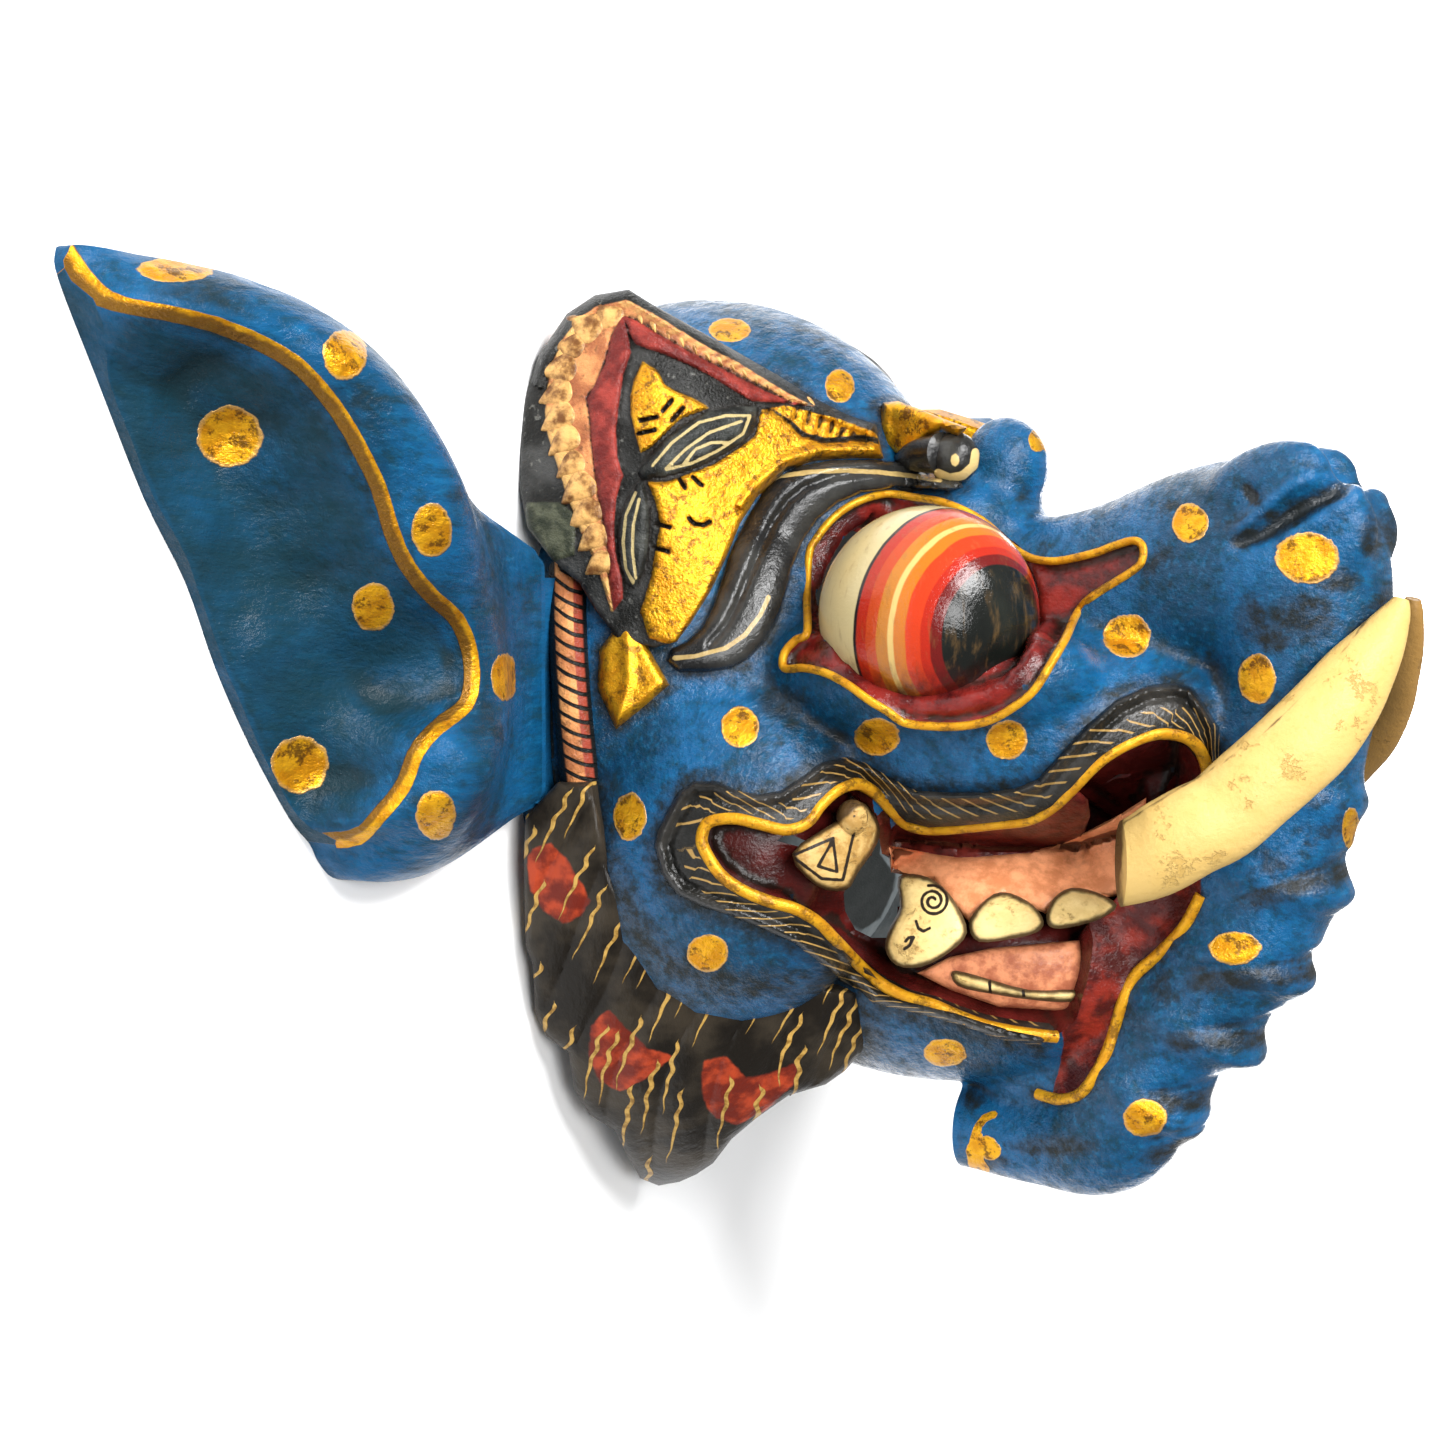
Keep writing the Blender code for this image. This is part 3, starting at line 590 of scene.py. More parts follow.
def petal_growth():
    """Carved leaf teeth along a path, each lying across it."""
    made = Growth("petals along a path", ("Pitch", "Length", "Width", "Height", "Slant", "Uneven"))
    given = made.given
    curve = made.put("GeometryNodeMeshToCurve", {"Mesh": given["Geometry"]})
    values = {"Curve": curve.outputs[0], "Length": given["Pitch"]}
    spots = made.put("GeometryNodeCurveToPoints", values, mode="LENGTH")
    out = made.put("GeometryNodeInputNamedAttribute", {"Name": "out"}, data_type="FLOAT_VECTOR")
    upright = made.put("FunctionNodeAlignRotationToVector", {"Vector": out.outputs[0]}, axis="Z")
    values = {"Rotation": upright.outputs[0], "Vector": spots.outputs["Tangent"]}
    along = made.put("FunctionNodeAlignRotationToVector", values, axis="Y", pivot_axis="Z")
    slant = made.put("ShaderNodeCombineXYZ", {"Z": given["Slant"]})
    turn = made.put("FunctionNodeEulerToRotation", {"Euler": slant.outputs[0]})
    values = {"Rotation": along.outputs[0], "Rotate By": turn.outputs[0]}
    turned = made.put("FunctionNodeRotateRotation", values, rotation_space="LOCAL")
    size = made.put("ShaderNodeCombineXYZ", {"X": given["Length"], "Y": given["Width"], "Z": given["Height"]})
    leaf = made.put("GeometryNodeMeshIcoSphere", {"Radius": 0.5, "Subdivisions": 4})
    spot = made.put("ShaderNodeSeparateXYZ", {"Vector": made.put("GeometryNodeInputPosition").outputs[0]})
    taper = made.put("ShaderNodeMath", {0: spot.outputs["X"], 1: -1.1, 2: 0.75}, operation="MULTIPLY_ADD")
    narrow = made.put("ShaderNodeMath", {0: spot.outputs["Y"], 1: taper.outputs[0]}, operation="MULTIPLY")
    values = {"X": spot.outputs["X"], "Y": narrow.outputs[0], "Z": spot.outputs["Z"]}
    values = {"Geometry": leaf.outputs[0], "Position": made.put("ShaderNodeCombineXYZ", values).outputs[0]}
    pointed = made.put("GeometryNodeSetPosition", values)
    values = {"Geometry": pointed.outputs[0], "Scale": size.outputs[0]}
    sized = made.put("GeometryNodeTransform", values)
    low = made.put("ShaderNodeMath", {0: 1.0, 1: given["Uneven"]}, operation="SUBTRACT")
    high = made.put("ShaderNodeMath", {0: 1.0, 1: given["Uneven"]}, operation="ADD")
    values = {"Min": low.outputs[0], "Max": high.outputs[0], "Seed": PETAL_SEED}
    scale = made.put("FunctionNodeRandomValue", values, data_type="FLOAT")
    values = {
        "Points": spots.outputs[0], "Instance": sized.outputs[0], "Rotation": turned.outputs[0],
        "Scale": scale.outputs["Value"],
    }
    return made.end(made.put("GeometryNodeInstanceOnPoints", values).outputs[0])


# Paints


class Paint:
    """A painted finish, built from shader nodes."""

    def __init__(self, name):
        self.made = bpy.data.materials.new(name)
        self.made.use_nodes = True
        self.tree = self.made.node_tree
        self.surface = self.tree.nodes["Principled BSDF"]
        self.spot = self.put("ShaderNodeTexCoord").outputs["Object"]

    def put(self, kind, values=None, **settings):
        node = self.tree.nodes.new(kind)
        for key, value in settings.items():
            setattr(node, key, value)
        for key, value in (values or {}).items():
            self.join(node.inputs[key], value)
        return node

    def join(self, socket, value):
        if isinstance(value, bpy.types.NodeSocket):
            self.tree.links.new(value, socket)
        elif isinstance(value, tuple) and len(value) == 3 and socket.type == "RGBA":
            socket.default_value = (*value, 1.0)
        else:
            socket.default_value = value

    def field(self, name):
        return self.put("ShaderNodeAttribute", attribute_name=name).outputs["Fac"]

    def noise(self, scale, detail=4.0, roughness=0.55, stretch=(1.0, 1.0, 1.0), turn=(0.0, 0.0, 0.0)):
        laid = self.put("ShaderNodeMapping", {"Vector": self.spot, "Scale": stretch, "Rotation": turn})
        values = {"Vector": laid.outputs[0], "Scale": scale, "Detail": detail, "Roughness": roughness}
        return self.put("ShaderNodeTexNoise", values).outputs["Fac"]

    def sum(self, operation, a, b=0.0, c=0.0):
        node = self.put("ShaderNodeMath", operation=operation)
        for socket, value in zip(node.inputs, (a, b, c)):
            self.join(socket, value)
        return node.outputs[0]

    def scaled(self, value, factor, plus):
        """value times factor, plus the last number or field."""
        return self.sum("MULTIPLY_ADD", value, factor, plus)

    def off_middle(self, lane):
        """How far a place is from the middle of its lane, where lanes are one apart."""
        return self.sum("ABSOLUTE", self.sum("SUBTRACT", self.sum("FRACT", lane), 0.5))

    def step(self, value, low, high, first=0.0, last=1.0):
        """Goes over smoothly from first to last as value goes from low to high."""
        if low > high:
            low, high, first, last = high, low, last, first
        values = {"Value": value, "From Min": low, "From Max": high, "To Min": first, "To Max": last}
        return self.put("ShaderNodeMapRange", values, interpolation_type="SMOOTHSTEP").outputs["Result"]

    def mix(self, share, under, over):
        node = self.put("ShaderNodeMix", data_type="RGBA")
        self.join(node.inputs["Factor"], share)
        self.join(node.inputs["A"], under)
        self.join(node.inputs["B"], over)
        return node.outputs["Result"]

    def mottled(self, noise, limits, under, over):
        """Two colours in patches. noise holds a scale, a detail and a roughness."""
        return self.mix(self.step(self.noise(*noise), *limits), under, over)

    def blend(self, share, under, over):
        """A mix of plain numbers."""
        node = self.put("ShaderNodeMix", data_type="FLOAT")
        self.join(node.inputs[0], share)
        self.join(node.inputs[2], under)
        self.join(node.inputs[3], over)
        return node.outputs[0]

    def finish(
        self, colour, roughness, height=None, depth=0.0002, coat=0.5, coat_roughness=0.12, metallic=0.0
    ):
        """Joins the finish to the shader. The lacquer is thin, so that the pale room doesn't veil it."""
        shader = self.surface.inputs
        self.join(shader["Base Color"], colour)
        self.join(shader["Roughness"], roughness)
        self.join(shader["Metallic"], metallic)
        self.join(shader["Specular IOR Level"], 0.06)
        self.join(shader["Coat IOR"], 1.34)
        self.join(shader["Coat Weight"], coat)
        self.join(shader["Coat Roughness"], coat_roughness)
        if height is not None:
            bump = self.put("ShaderNodeBump", {"Height": height, "Strength": 1.0, "Distance": depth})
            self.join(shader["Normal"], bump.outputs[0])
            self.join(shader["Coat Normal"], bump.outputs[0])
        return self.made


# The view, the light and the floor


def view():
    """The camera, looking down on the mask."""
    lens = bpy.data.cameras.new("camera")
    lens.lens = LENS
    lens.sensor_width = SENSOR
    lens.clip_start = 0.01
    lens.dof.use_dof = False
    camera = bpy.data.objects.new("camera", lens)
    bpy.context.scene.collection.objects.link(camera)
    turned = Matrix((ACROSS, UPWARD, -BACK)).transposed().to_4x4()
    turned.translation = EYE_POINT
    camera.matrix_world = turned
    bpy.context.scene.camera = camera


def lamp(name, spot, target, size, power, spread=180.0):
    light = bpy.data.lights.new(name, "AREA")
    light.spread = math.radians(spread)
    light.shape = "RECTANGLE"
    light.size, light.size_y = size
    light.energy = power
    obj = bpy.data.objects.new(name, light)
    bpy.context.scene.collection.objects.link(obj)
    obj.location = spot
    obj.rotation_mode = "QUATERNION"
    obj.rotation_quaternion = (Vector(target) - Vector(spot)).to_track_quat("-Z", "Y")


def lighting():
    world = bpy.data.worlds.new("studio")
    world.use_nodes = True
    sky = world.node_tree.nodes["Background"].inputs
    sky["Color"].default_value = (1.0, 1.0, 1.0, 1.0)
    sky["Strength"].default_value = 0.34
    bpy.context.scene.world = world
    bpy.context.scene.view_settings.view_transform = "Standard"
    lamp("top light", (-0.7, 1.4, 2.0), (0, 0, 0.08), (1.3, 0.8), 100.0)
    lamp("front light", (-1.8, 0.2, 2.0), (0, 0, 0.05), (1.0, 1.0), 52.0)
    # The open back of a mask that is held up lets light in
    lamp("hollow light", (0, 0, 0.003), (0, 0, 0.2), (0.09, 0.09), 0.05)
    # This one lights the floor behind the mask alone
    lamp("backdrop light", (1.25, 0, 0.9), (1.25, 0, 0), (0.5, 1.6), 30.0, spread=75.0)


def floor():
    made = bmesh.new()
    bmesh.ops.create_grid(made, x_segments=8, y_segments=8, size=6.0)
    obj = joined("floor", [made])
    paint = Paint("floor_paint")
    paint.finish((0.92, 0.92, 0.92), 0.9, coat=0.0)
    obj.data.materials.append(paint.made)


# The head's soft forms: skull, face, cheeks, jaws, snout and trunk

TRUNK = [
    (0, 14, 60, 34), (0, 24, 96, 28), (0, 32, 124, 24.5), (0, 40, 148, 25.5), (0, 40, 164, 25),
    (0, 22, 168, 21), (0, -4, 164, 20), (0, -28, 160.5, 20), (0, -52, 152, 19), (0, -74, 137, 17.5),
    (0, -97, 122, 18), (0, -102.5, 104, 12.5), (0, -102, 86, 10.5), (0, -102, 74, 10.5),
]
TRUNK_FOLDS = (
    (-13, 164, 22, 8), (-33, 161, 22.5, 13), (-52, 153.5, 22, 21), (-69, 143, 21.5, 29),
    (-86, 131, 21, 38),
)


def soft_forms():
    """The overlapping solids that become one skin."""
    forms = [
        ball((0, 45, 10), (60, 67, 68)),
        ball((0, 4, 6), (83, 78, 78)),
        ball((0, 2, 92), (58, 32, 66)),
        ball((0, -55, 78), (40, 35, 58)),
        ball((0, 66, 94), (12, 13, 11)),
        ball((0, 50, 84), (26, 16, 20)),
        bar(TRUNK),
    ]
    forms += both(ball((-50, -26, 38), (36, 46, 44)))
    forms += both(ball((-15, 58, 162), (9, 10.5, 18), turn_x=-28))
    forms += both(ball((-12, 49, 177), (9, 12.5, 12), turn_x=-25))
    forms += both(ball((-45, 16, 90), (26, 18, 42)))
    for y, z, radius, tip in TRUNK_FOLDS:
        forms.append(ball((0, y, z), (radius - 0.4, 8.5, radius - 0.4), turn_x=tip))
    # Behind the trunk it is closed down to the chin
    forms.append(ball((0, -84, 108), (12, 14, 20)))
    forms.append(ball((0, -42, 130), (15, 24, 22)))
    return forms


def ledges(drawn):
    """How far each drawn place is below the nearest ledge of the trunk, and how strong that ledge is."""
    below = np.full(len(drawn), 99.0)
    strong = np.zeros(len(drawn))
    for line in TRUNK_LEDGES:
        xs, ys = zip(*line)
        under = np.interp(drawn[:, 0], xs, ys) - drawn[:, 1]
        over_it = ease(drawn[:, 0], xs[0] - 3.0, xs[0] + 7.0)
        nearer = (under > -3.0) & (under < below)
        below[nearer] = under[nearer]
        strong[nearer] = over_it[nearer]
    return below, strong


def carve_skin(shape):
    """Cuts the ledges of the trunk and the wrinkles of the snout's end into the soft forms."""
    spots = np.array([tuple(v.co) for v in shape.verts])
    shape.normal_update()
    normals = np.array([tuple(v.normal) for v in shape.verts])
    drawn = drawn_places(spots)
    front = (np.abs(spots[:, 0]) < 0.045) & (spots[:, 2] > 0.075)
    below, strong = ledges(drawn)
    step = np.where(below < 1.0, ease(below, -1.8, 1.0), np.exp(-np.maximum(below - 1.0, 0.0) / 4.0))
    tall = -1.5 * step * strong * front
    end = (np.abs(spots[:, 0]) < 0.05) & (spots[:, 2] > 0.12)
    for line, change, wide in WRINKLES:
        tall += change * np.exp(-(to_line(drawn, line)[0] / wide) ** 2) * end
    for vert, spot, normal, change in zip(shape.verts, spots, normals, tall):
        vert.co = spot + normal * change * MM
    soft = [vert for vert, on in zip(shape.verts, front) if on]
    axes = {"use_axis_x": True, "use_axis_y": True, "use_axis_z": True}
    for _ in range(2):
        bmesh.ops.smooth_vert(shape, verts=soft, factor=0.5, **axes)
    return shape


# Outlines on the drawing: (across, up) in mm

MOUTH_TOP = [
    (-5.5, -30.5), (-3.5, -26.5), (3, -25.5), (10, -27), (17, -28.5), (22.5, -26.5), (26, -22),
    (30.5, -18), (35.5, -16.5), (40, -18.5), (44.5, -22.5), (49, -26.5), (55, -28), (64, -27.5),
    (73.5, -26.5), (81.5, -25.5), (87.5, -22.5), (93, -17.5), (100, -10.5), (107, -6), (115, -3),
    (122, -3.5), (126.5, -6.5), (129, -12.5),
]
MOUTH_END = [(122, -24), (112, -36), (105, -47), (99, -58), (97, -70), (94, -80)]
LOWER_LIP = [
    (89, -83.5), (84, -83), (77, -82), (70, -80.5), (63, -78), (56, -75), (49, -73), (42.5, -69.5),
    (36.5, -64.5), (30.5, -58.5), (25, -53), (19, -49.5), (12, -47.5), (5, -44.5), (-0.5, -40.5),
    (-4.5, -34.5),
]
BAND_TOP = [
    (-17.5, -29), (-15.5, -24.5), (-12, -18.5), (-7.5, -15.5), (-1.5, -15.5), (4, -18), (10, -19),
    (15.5, -18), (21.5, -14), (26, -10.5), (33, -9), (39, -11), (44.5, -14.5), (51.5, -18), (61, -18.5),
    (70, -18.5), (78, -17.5), (84, -15), (89.5, -9), (96.5, -1), (104.5, 6), (113, 10), (121, 11),
    (125.5, 9.5), (129, 4.5), (132.5, -1), (133, -7), (133.5, -10.5),
]
BAND_LOW = [
    (-18.5, -32.5), (-16.5, -40.5), (-12.5, -46), (-5, -49.5), (3, -52), (11, -55.5), (19, -59),
    (25, -63.5), (30.5, -68), (36.5, -71.5), (40, -75), (55, -78.5), (64, -81), (73.5, -84.5),
    (84, -86.5),
]
TRUNK_LINE = [
    (127.5, -46), (123, -54.5), (116.5, -61.5), (109.5, -68), (106.5, -75), (104.5, -82), (102, -89),
    (98, -96), (94.5, -99.5), (89.5, -100.5), (84, -99),
]
EYE = [
    (16.5, 14.5), (16.5, 18.5), (19.5, 22), (22.5, 24), (22.5, 33.5), (23, 44.5), (25, 49), (29, 54),
    (33.5, 57.5), (39, 60), (44.5, 61), (51.5, 60), (59.5, 58.5), (69, 54), (79, 45.5), (87.5, 43),
    (98.5, 45), (104, 47), (109.5, 48.5), (112, 47), (112, 43.5), (109.5, 40.5), (98.5, 33.5), (94.5, 29),
    (91.5, 22.5), (87.5, 15.5), (83, 8.5), (77.5, 4), (71, 0.5), (63.5, -1), (55.5, -1), (48.5, 0),
    (44, 3), (39, 6), (33.5, 10), (28, 13), (22, 14.5),
]
BROW_TOP = [
    (-13.8, 19.8), (-9.8, 22), (-6.3, 25.1), (-2.8, 31.3), (-0.5, 38.4), (2.6, 47.3), (6.1, 54.3),
    (10.5, 61.4), (14.9, 65.8), (20.2, 68.5), (29.1, 70.2), (39.7, 70.4), (50.3, 69.6), (59, 67.5),
    (63.5, 65.4),
]
BROW_LOW = [
    (-13.8, 19.8), (-15.1, 16.3), (-11.6, 13.2), (-4.5, 13.2), (1.7, 14.1), (7, 16.7), (11.4, 21.2),
    (14.9, 26.9), (17.1, 34), (18.9, 41.1), (21.6, 48.1), (25.5, 53.9), (30.9, 58.3), (37, 61),
    (45.9, 62.4), (54.7, 61.8), (60, 61.4), (64.5, 62.6),
]
BROW_GOLD = [
    (9.6, 62.6), (14.9, 65.6), (23.8, 66.9), (32.6, 67.2), (41.5, 66.8), (50.3, 65.8), (58, 64.6),
]
BROW_ARC = [(-12.8, 17.2), (-7.2, 17.7), (0.8, 19.8), (6.1, 23.4), (10.1, 28.7), (12.3, 33.5)]
PANEL = [
    (-54, 61.5), (-54, 73.5), (-53, 86), (-49, 98), (-41.5, 109), (-34, 114), (-25, 115.5), (-19.5, 112),
    (-12.5, 108), (1, 100.5), (15, 92.5), (24.5, 86.5), (33.5, 82), (41, 79.5), (43, 70.5), (34.5, 71),
    (25, 70.5), (17.5, 68), (10, 61.5), (5.5, 55), (1, 44.5), (-3, 36), (-8.5, 27), (-12.5, 21.5),
    (-18, 20), (-28, 22), (-34, 30), (-38, 37), (-45.5, 43.5), (-52, 52),
]
RED_ARM_LEFT = [
    (-26.6, 108.7), (-29.7, 103), (-31.5, 95.9), (-34.2, 89.7), (-36.4, 86.6), (-35.5, 81.8), (-35, 74.7),
    (-34.2, 67.6), (-33.3, 60.5), (-31.9, 53.4), (-30.6, 45.5), (-30.4, 38.4), (-29.1, 29.6),
    (-26.6, 33.1), (-26.6, 38.4), (-28.4, 45.5), (-28.8, 53.4), (-28.4, 59.6), (-26.6, 65.8), (-28, 71.1),
    (-28.4, 78.2), (-27.5, 85.3), (-26.5, 92.4), (-24.4, 98.6), (-24.9, 103), (-25.8, 106.5),
]
RED_ARM_RIGHT = [
    (-26.6, 108.7), (-23.1, 107.4), (-15.1, 102.5), (-8.1, 98.6), (-1, 95), (6.1, 91.5), (12.3, 88.4),
    (18, 85.7), (23.8, 84.4), (14.9, 85.3), (7.9, 85.7), (2.6, 88.8), (-2.8, 92.4), (-8.1, 95),
    (-15.1, 98.1), (-20.4, 99.9), (-23.1, 100.8), (-24.7, 103),
]
PEACH_LEFT = [
    (-25.8, 112.7), (-33.7, 110.9), (-38.6, 107.4), (-42.6, 102.1), (-45.7, 95), (-47, 87.9),
    (-47.2, 82.6), (-47, 78.2), (-44.8, 71.1), (-43.4, 66.7), (-41.5, 60.5), (-39.5, 55.2), (-37.4, 49.9),
    (-34.2, 43.7), (-31.5, 35.8), (-29.7, 29.6),
]
PEACH_RIGHT = [
    (-25.8, 112.7), (-18.7, 109.2), (-11.6, 104.7), (-2.8, 99.4), (4.3, 95.9), (12.3, 91), (18, 87.5),
    (24.7, 84.2),
]
TRIANGLE = [
    (-21.3, 96.3), (-17.8, 94.1), (-15.1, 89.7), (-11.6, 87.9), (-8.1, 86.6), (-3.6, 84), (-11.6, 80.9),
    (-15.1, 77.3), (-18.7, 73.8), (-21.8, 72), (-23.1, 76.4), (-24.4, 81.8), (-24.4, 87.1), (-23.5, 91.5),
]
LEAF_UPPER = [
    (-22.7, 66.7), (-17.8, 72.9), (-11.6, 78.7), (-3.6, 83.1), (2.6, 84), (9.2, 84.4), (8.7, 79.1),
    (5.2, 74.7), (-1, 71.1), (-8.1, 67.6), (-15.1, 65.8), (-21.3, 64.9),
]
LEAF_LOWER = [
    (-22.2, 64.1), (-24.9, 60.5), (-27.1, 55.2), (-28, 49.9), (-27.5, 42.8), (-25.8, 37.5), (-23.5, 35.8),
    (-21.3, 39.3), (-20, 45.5), (-19.6, 51.7), (-19.6, 57), (-20.4, 61.4), (-21.3, 64.1),
]
LEAF_VEINS = [
    [(-18.7, 68.5), (-13.4, 74.7), (-6.3, 80), (0.8, 81.8), (7.4, 81.8), (5.5, 77), (-1, 72.6),
     (-8, 69.2), (-15, 67.4)],
    [(-15.1, 67.6), (-9.8, 72.9), (-3.6, 77.3), (5.2, 80.4)],
    [(-10.7, 68.5), (-7.2, 72.9), (-2.8, 74.7), (1.7, 74.7)],
    [(-23.1, 61.4), (-25.8, 55.2), (-26.5, 48.1), (-25.8, 41.1), (-23.8, 37.1)],
    [(-22.2, 59.6), (-23.8, 52.6), (-24, 45.5), (-23.1, 38.4)],
]
GOLD_GROUND = [
    (-20, 64.1), (-15.1, 64.1), (-8.1, 66.7), (-2.8, 68.5), (3.4, 72.5), (8.7, 76.4), (10.5, 83.5),
    (13.2, 83.1), (17.6, 80), (21.1, 76.4), (28.2, 74.7), (37, 75.6), (42.8, 73.8), (45.9, 70.7),
    (37, 69.8), (23.8, 69.8), (17.6, 68.5), (12.3, 64.1), (7.9, 57.9), (4.3, 50.8), (0.8, 42.8),
    (-1.9, 34.9), (-3.6, 28.7), (-8.1, 23.4), (-12.5, 20.3), (-19.6, 22.5), (-21.8, 29.6), (-19.1, 38.4),
    (-17.8, 45.5), (-16.5, 52.6), (-17.8, 58.8),
]
GROUND_NICKS = [
    [(-9, 54.5), (-7.5, 53), (-5, 52.6), (-3.4, 53.6)], [(-11.5, 65), (-10, 62.5)],
    [(-8, 65.5), (-5.5, 63.2)], [(-17.5, 53), (-14, 52)], [(-18, 46.5), (-14.5, 45.6)],
    [(-22, 80.5), (-17.5, 81.5)], [(-22.5, 77), (-18, 78)], [(-16, 83), (-13.5, 86)],
    [(-13.5, 80.5), (-10.5, 84)],
]
GREEN_BLOCK = [(-52.3, 58.8), (-43, 58.8), (-39, 55.2), (-39.5, 44.6), (-45.7, 42.8), (-53.2, 49.9)]
# What stands up on the crown panel: its outline, how wide its rounded edge is and how high it stands
PANEL_FORMS = (
    (RED_ARM_LEFT, 1.6, 1.3), (RED_ARM_RIGHT, 1.6, 1.3), (TRIANGLE, 1.0, 1.3), (GOLD_GROUND, 1.4, 1.3),
    (LEAF_UPPER, 4.0, 2.2), (LEAF_LOWER, 2.6, 2.0), (GREEN_BLOCK, 1.2, 0.9),
)
CURLS = [
    (10.5, 84.4), (16.7, 85.3), (23.8, 83.5), (30.9, 81.8), (40.6, 78.2), (44.1, 74.7), (37, 76),
    (28.2, 75.1), (21.6, 76.6), (17.6, 80.2),
]
PETAL_LINE = [
    (-30.5, 108.5), (-36, 105.5), (-40, 100.5), (-42.8, 94), (-43.8, 87), (-43.3, 80), (-41.3, 72.5),
    (-39.5, 66), (-37.7, 60), (-36, 54), (-34.2, 48.5), (-32.6, 42),
]
FEATHER_LINE = [(-21.5, 107.5), (-12, 102.3), (-2.8, 97), (4.3, 93.6), (12.3, 89), (18, 86), (23, 83.8)]
HOOK = [
    (42.8, 85.3), (46.8, 85.7), (53, 83.5), (59.2, 80.9), (65.3, 78.7), (62.7, 76.4), (58.3, 78.2),
    (54.7, 76.4), (50.3, 72.5), (47.2, 70.7), (42.8, 73.8), (41.9, 79.1),
]
ROPE = [(-41, 41), (-41, 28), (-40.5, 16), (-39.5, 2), (-38.5, -8), (-37.5, -17)]
PENDANT = [
    (-25.5, 29.5), (-33, 19.5), (-33.5, 9), (-28.5, -2), (-21, 4), (-14, 10), (-18, 17), (-21.5, 24),
]
BEARD = [
    (-52.5, -25), (-53, -38), (-52.5, -59.5), (-50.5, -65), (-50, -77), (-47, -83.5), (-41, -88),
    (-39.5, -97.5), (-35.5, -104.5), (-28.5, -109), (-25.5, -115), (-22, -121.5), (-17, -123.5),
    (-11.5, -122.5), (-7, -120.5), (-2.5, -117.5), (2.5, -111), (9, -105.5), (17.5, -99.5), (27.5, -96.5),
    (32.5, -93), (37, -88), (39.5, -85), (35.5, -72), (20, -70), (1, -70), (-15, -64), (-25, -52),
    (-30, -40), (-32, -28), (-35, -16), (-44, -16),
]
BEARD_REDS = [
    [(-51, -33.6), (-46, -32.4), (-41.6, -36.9), (-37.1, -43.6), (-35.4, -48), (-38.2, -51.3),
     (-42.7, -53.6), (-47.1, -50.2), (-51, -44.7), (-52.1, -39.1)],
    [(-35.4, -81.3), (-30.4, -76.9), (-26, -81.3), (-20.4, -86.9), (-13.8, -89.1), (-20.4, -94.7),
     (-27.1, -98), (-32.7, -95.8), (-35.4, -89.1)],
    [(-4.9, -90.2), (0.7, -89.1), (6.2, -94.7), (12.9, -93.6), (20.7, -90.2), (18.4, -96.9),
     (11.8, -103.6), (4, -106.9), (-1.6, -105.8), (-5.4, -100.2)],
]
UPPER_GUM = [
    (44, -32.7), (54, -34.6), (63.3, -35.9), (74, -35.3), (83.3, -34), (90, -32.3), (95.3, -30),
    (106, -24.5), (113, -20), (112, -44), (104, -46.5), (94, -46), (86, -51), (76, -46), (66, -53.5),
    (56, -42), (45, -40),
]
UPPER_WALL = [
    (39, -18.5), (44.5, -21.5), (49, -25.5), (55, -27), (64, -26.5), (73.5, -25.5), (81.5, -24.5),
    (87.5, -21.5), (93, -16.5), (97.5, -20.5), (98, -25), (95, -34), (83, -38), (64, -40), (46, -37),
    (42.5, -35), (41.5, -29),
]
CANINE = [
    (46.8, -41.2), (53, -40.7), (58.5, -43.6), (62.8, -49.2), (65.2, -56), (60.7, -61.2), (53, -65.2),
    (46.3, -64.7), (43.3, -60.1), (44.7, -54.5), (47.3, -49.2),
]
CANINE_MARKS = [
    [(51.6, -52.9), (52.2, -54.8), (53.6, -55.7), (55.3, -54.8)],
    [(48.8, -58.4), (49.6, -57.4), (51, -57.2), (49.8, -59.6), (48.4, -60.4)],
]
INCISORS = [
    [(65.7, -54.5), (67.3, -50.3), (72.4, -45.7), (77.2, -45.7), (82.8, -48.7), (85.7, -53),
     (83.9, -55.9), (77.2, -57.7), (68.4, -58.5)],
    [(86.3, -51.3), (88.4, -46.8), (92.9, -44.1), (99.6, -45.2), (105.2, -48.7), (100.7, -52.4),
     (91.9, -54.8), (87.3, -54.5)],
]
BACK_FANG = [
    (18.5, -35), (29.5, -26.8), (37.2, -21.2), (41.7, -26.8), (41.2, -32.4), (36.1, -40.1), (32.9, -44.7),
    (25.2, -43.6),
]
FANG_MARKS = [
    [(29.5, -30.8), (18.5, -35.6), (26.5, -41.7), (32.1, -42), (35, -29.5)],
    [(29.5, -31.3), (30.6, -39.9), (25.5, -38.3), (29.5, -31.3)],
]
FANG_KNOB = (35.1, -25.2)
LOWER_GUM = [
    (51.9, -66.8), (60.7, -62.5), (71.9, -60.1), (95.1, -58), (97.2, -66.8), (93, -77), (74, -75.9),
    (60.7, -71.3),
]
LOWER_TEETH = [
    (61.2, -66.3), (67.3, -67.3), (81.7, -71.3), (94, -71.3), (93, -74.5), (82.8, -74), (71.9, -72.4),
    (62.8, -70.3),
]
BACK_HOLE = [(17.5, -29.5), (22, -31.5), (22, -33.5), (18, -32.5), (14.5, -31.5)]
SIDE_HOLE = [
    (37.1, -35.5), (41.5, -35.5), (45.1, -40.5), (46.8, -45.8), (46.5, -53), (45.1, -57.4), (39.8, -57.4),
    (35.4, -55.2), (32.7, -50.3), (32.3, -45.8), (33.6, -42.3),
]
FRONT_HOLE = [
    (98.5, -20.8), (100, -17.5), (105.7, -13.8), (111.4, -13.8), (113.2, -17.5), (110, -21),
    (104.5, -23.5), (99.5, -23.5),
]
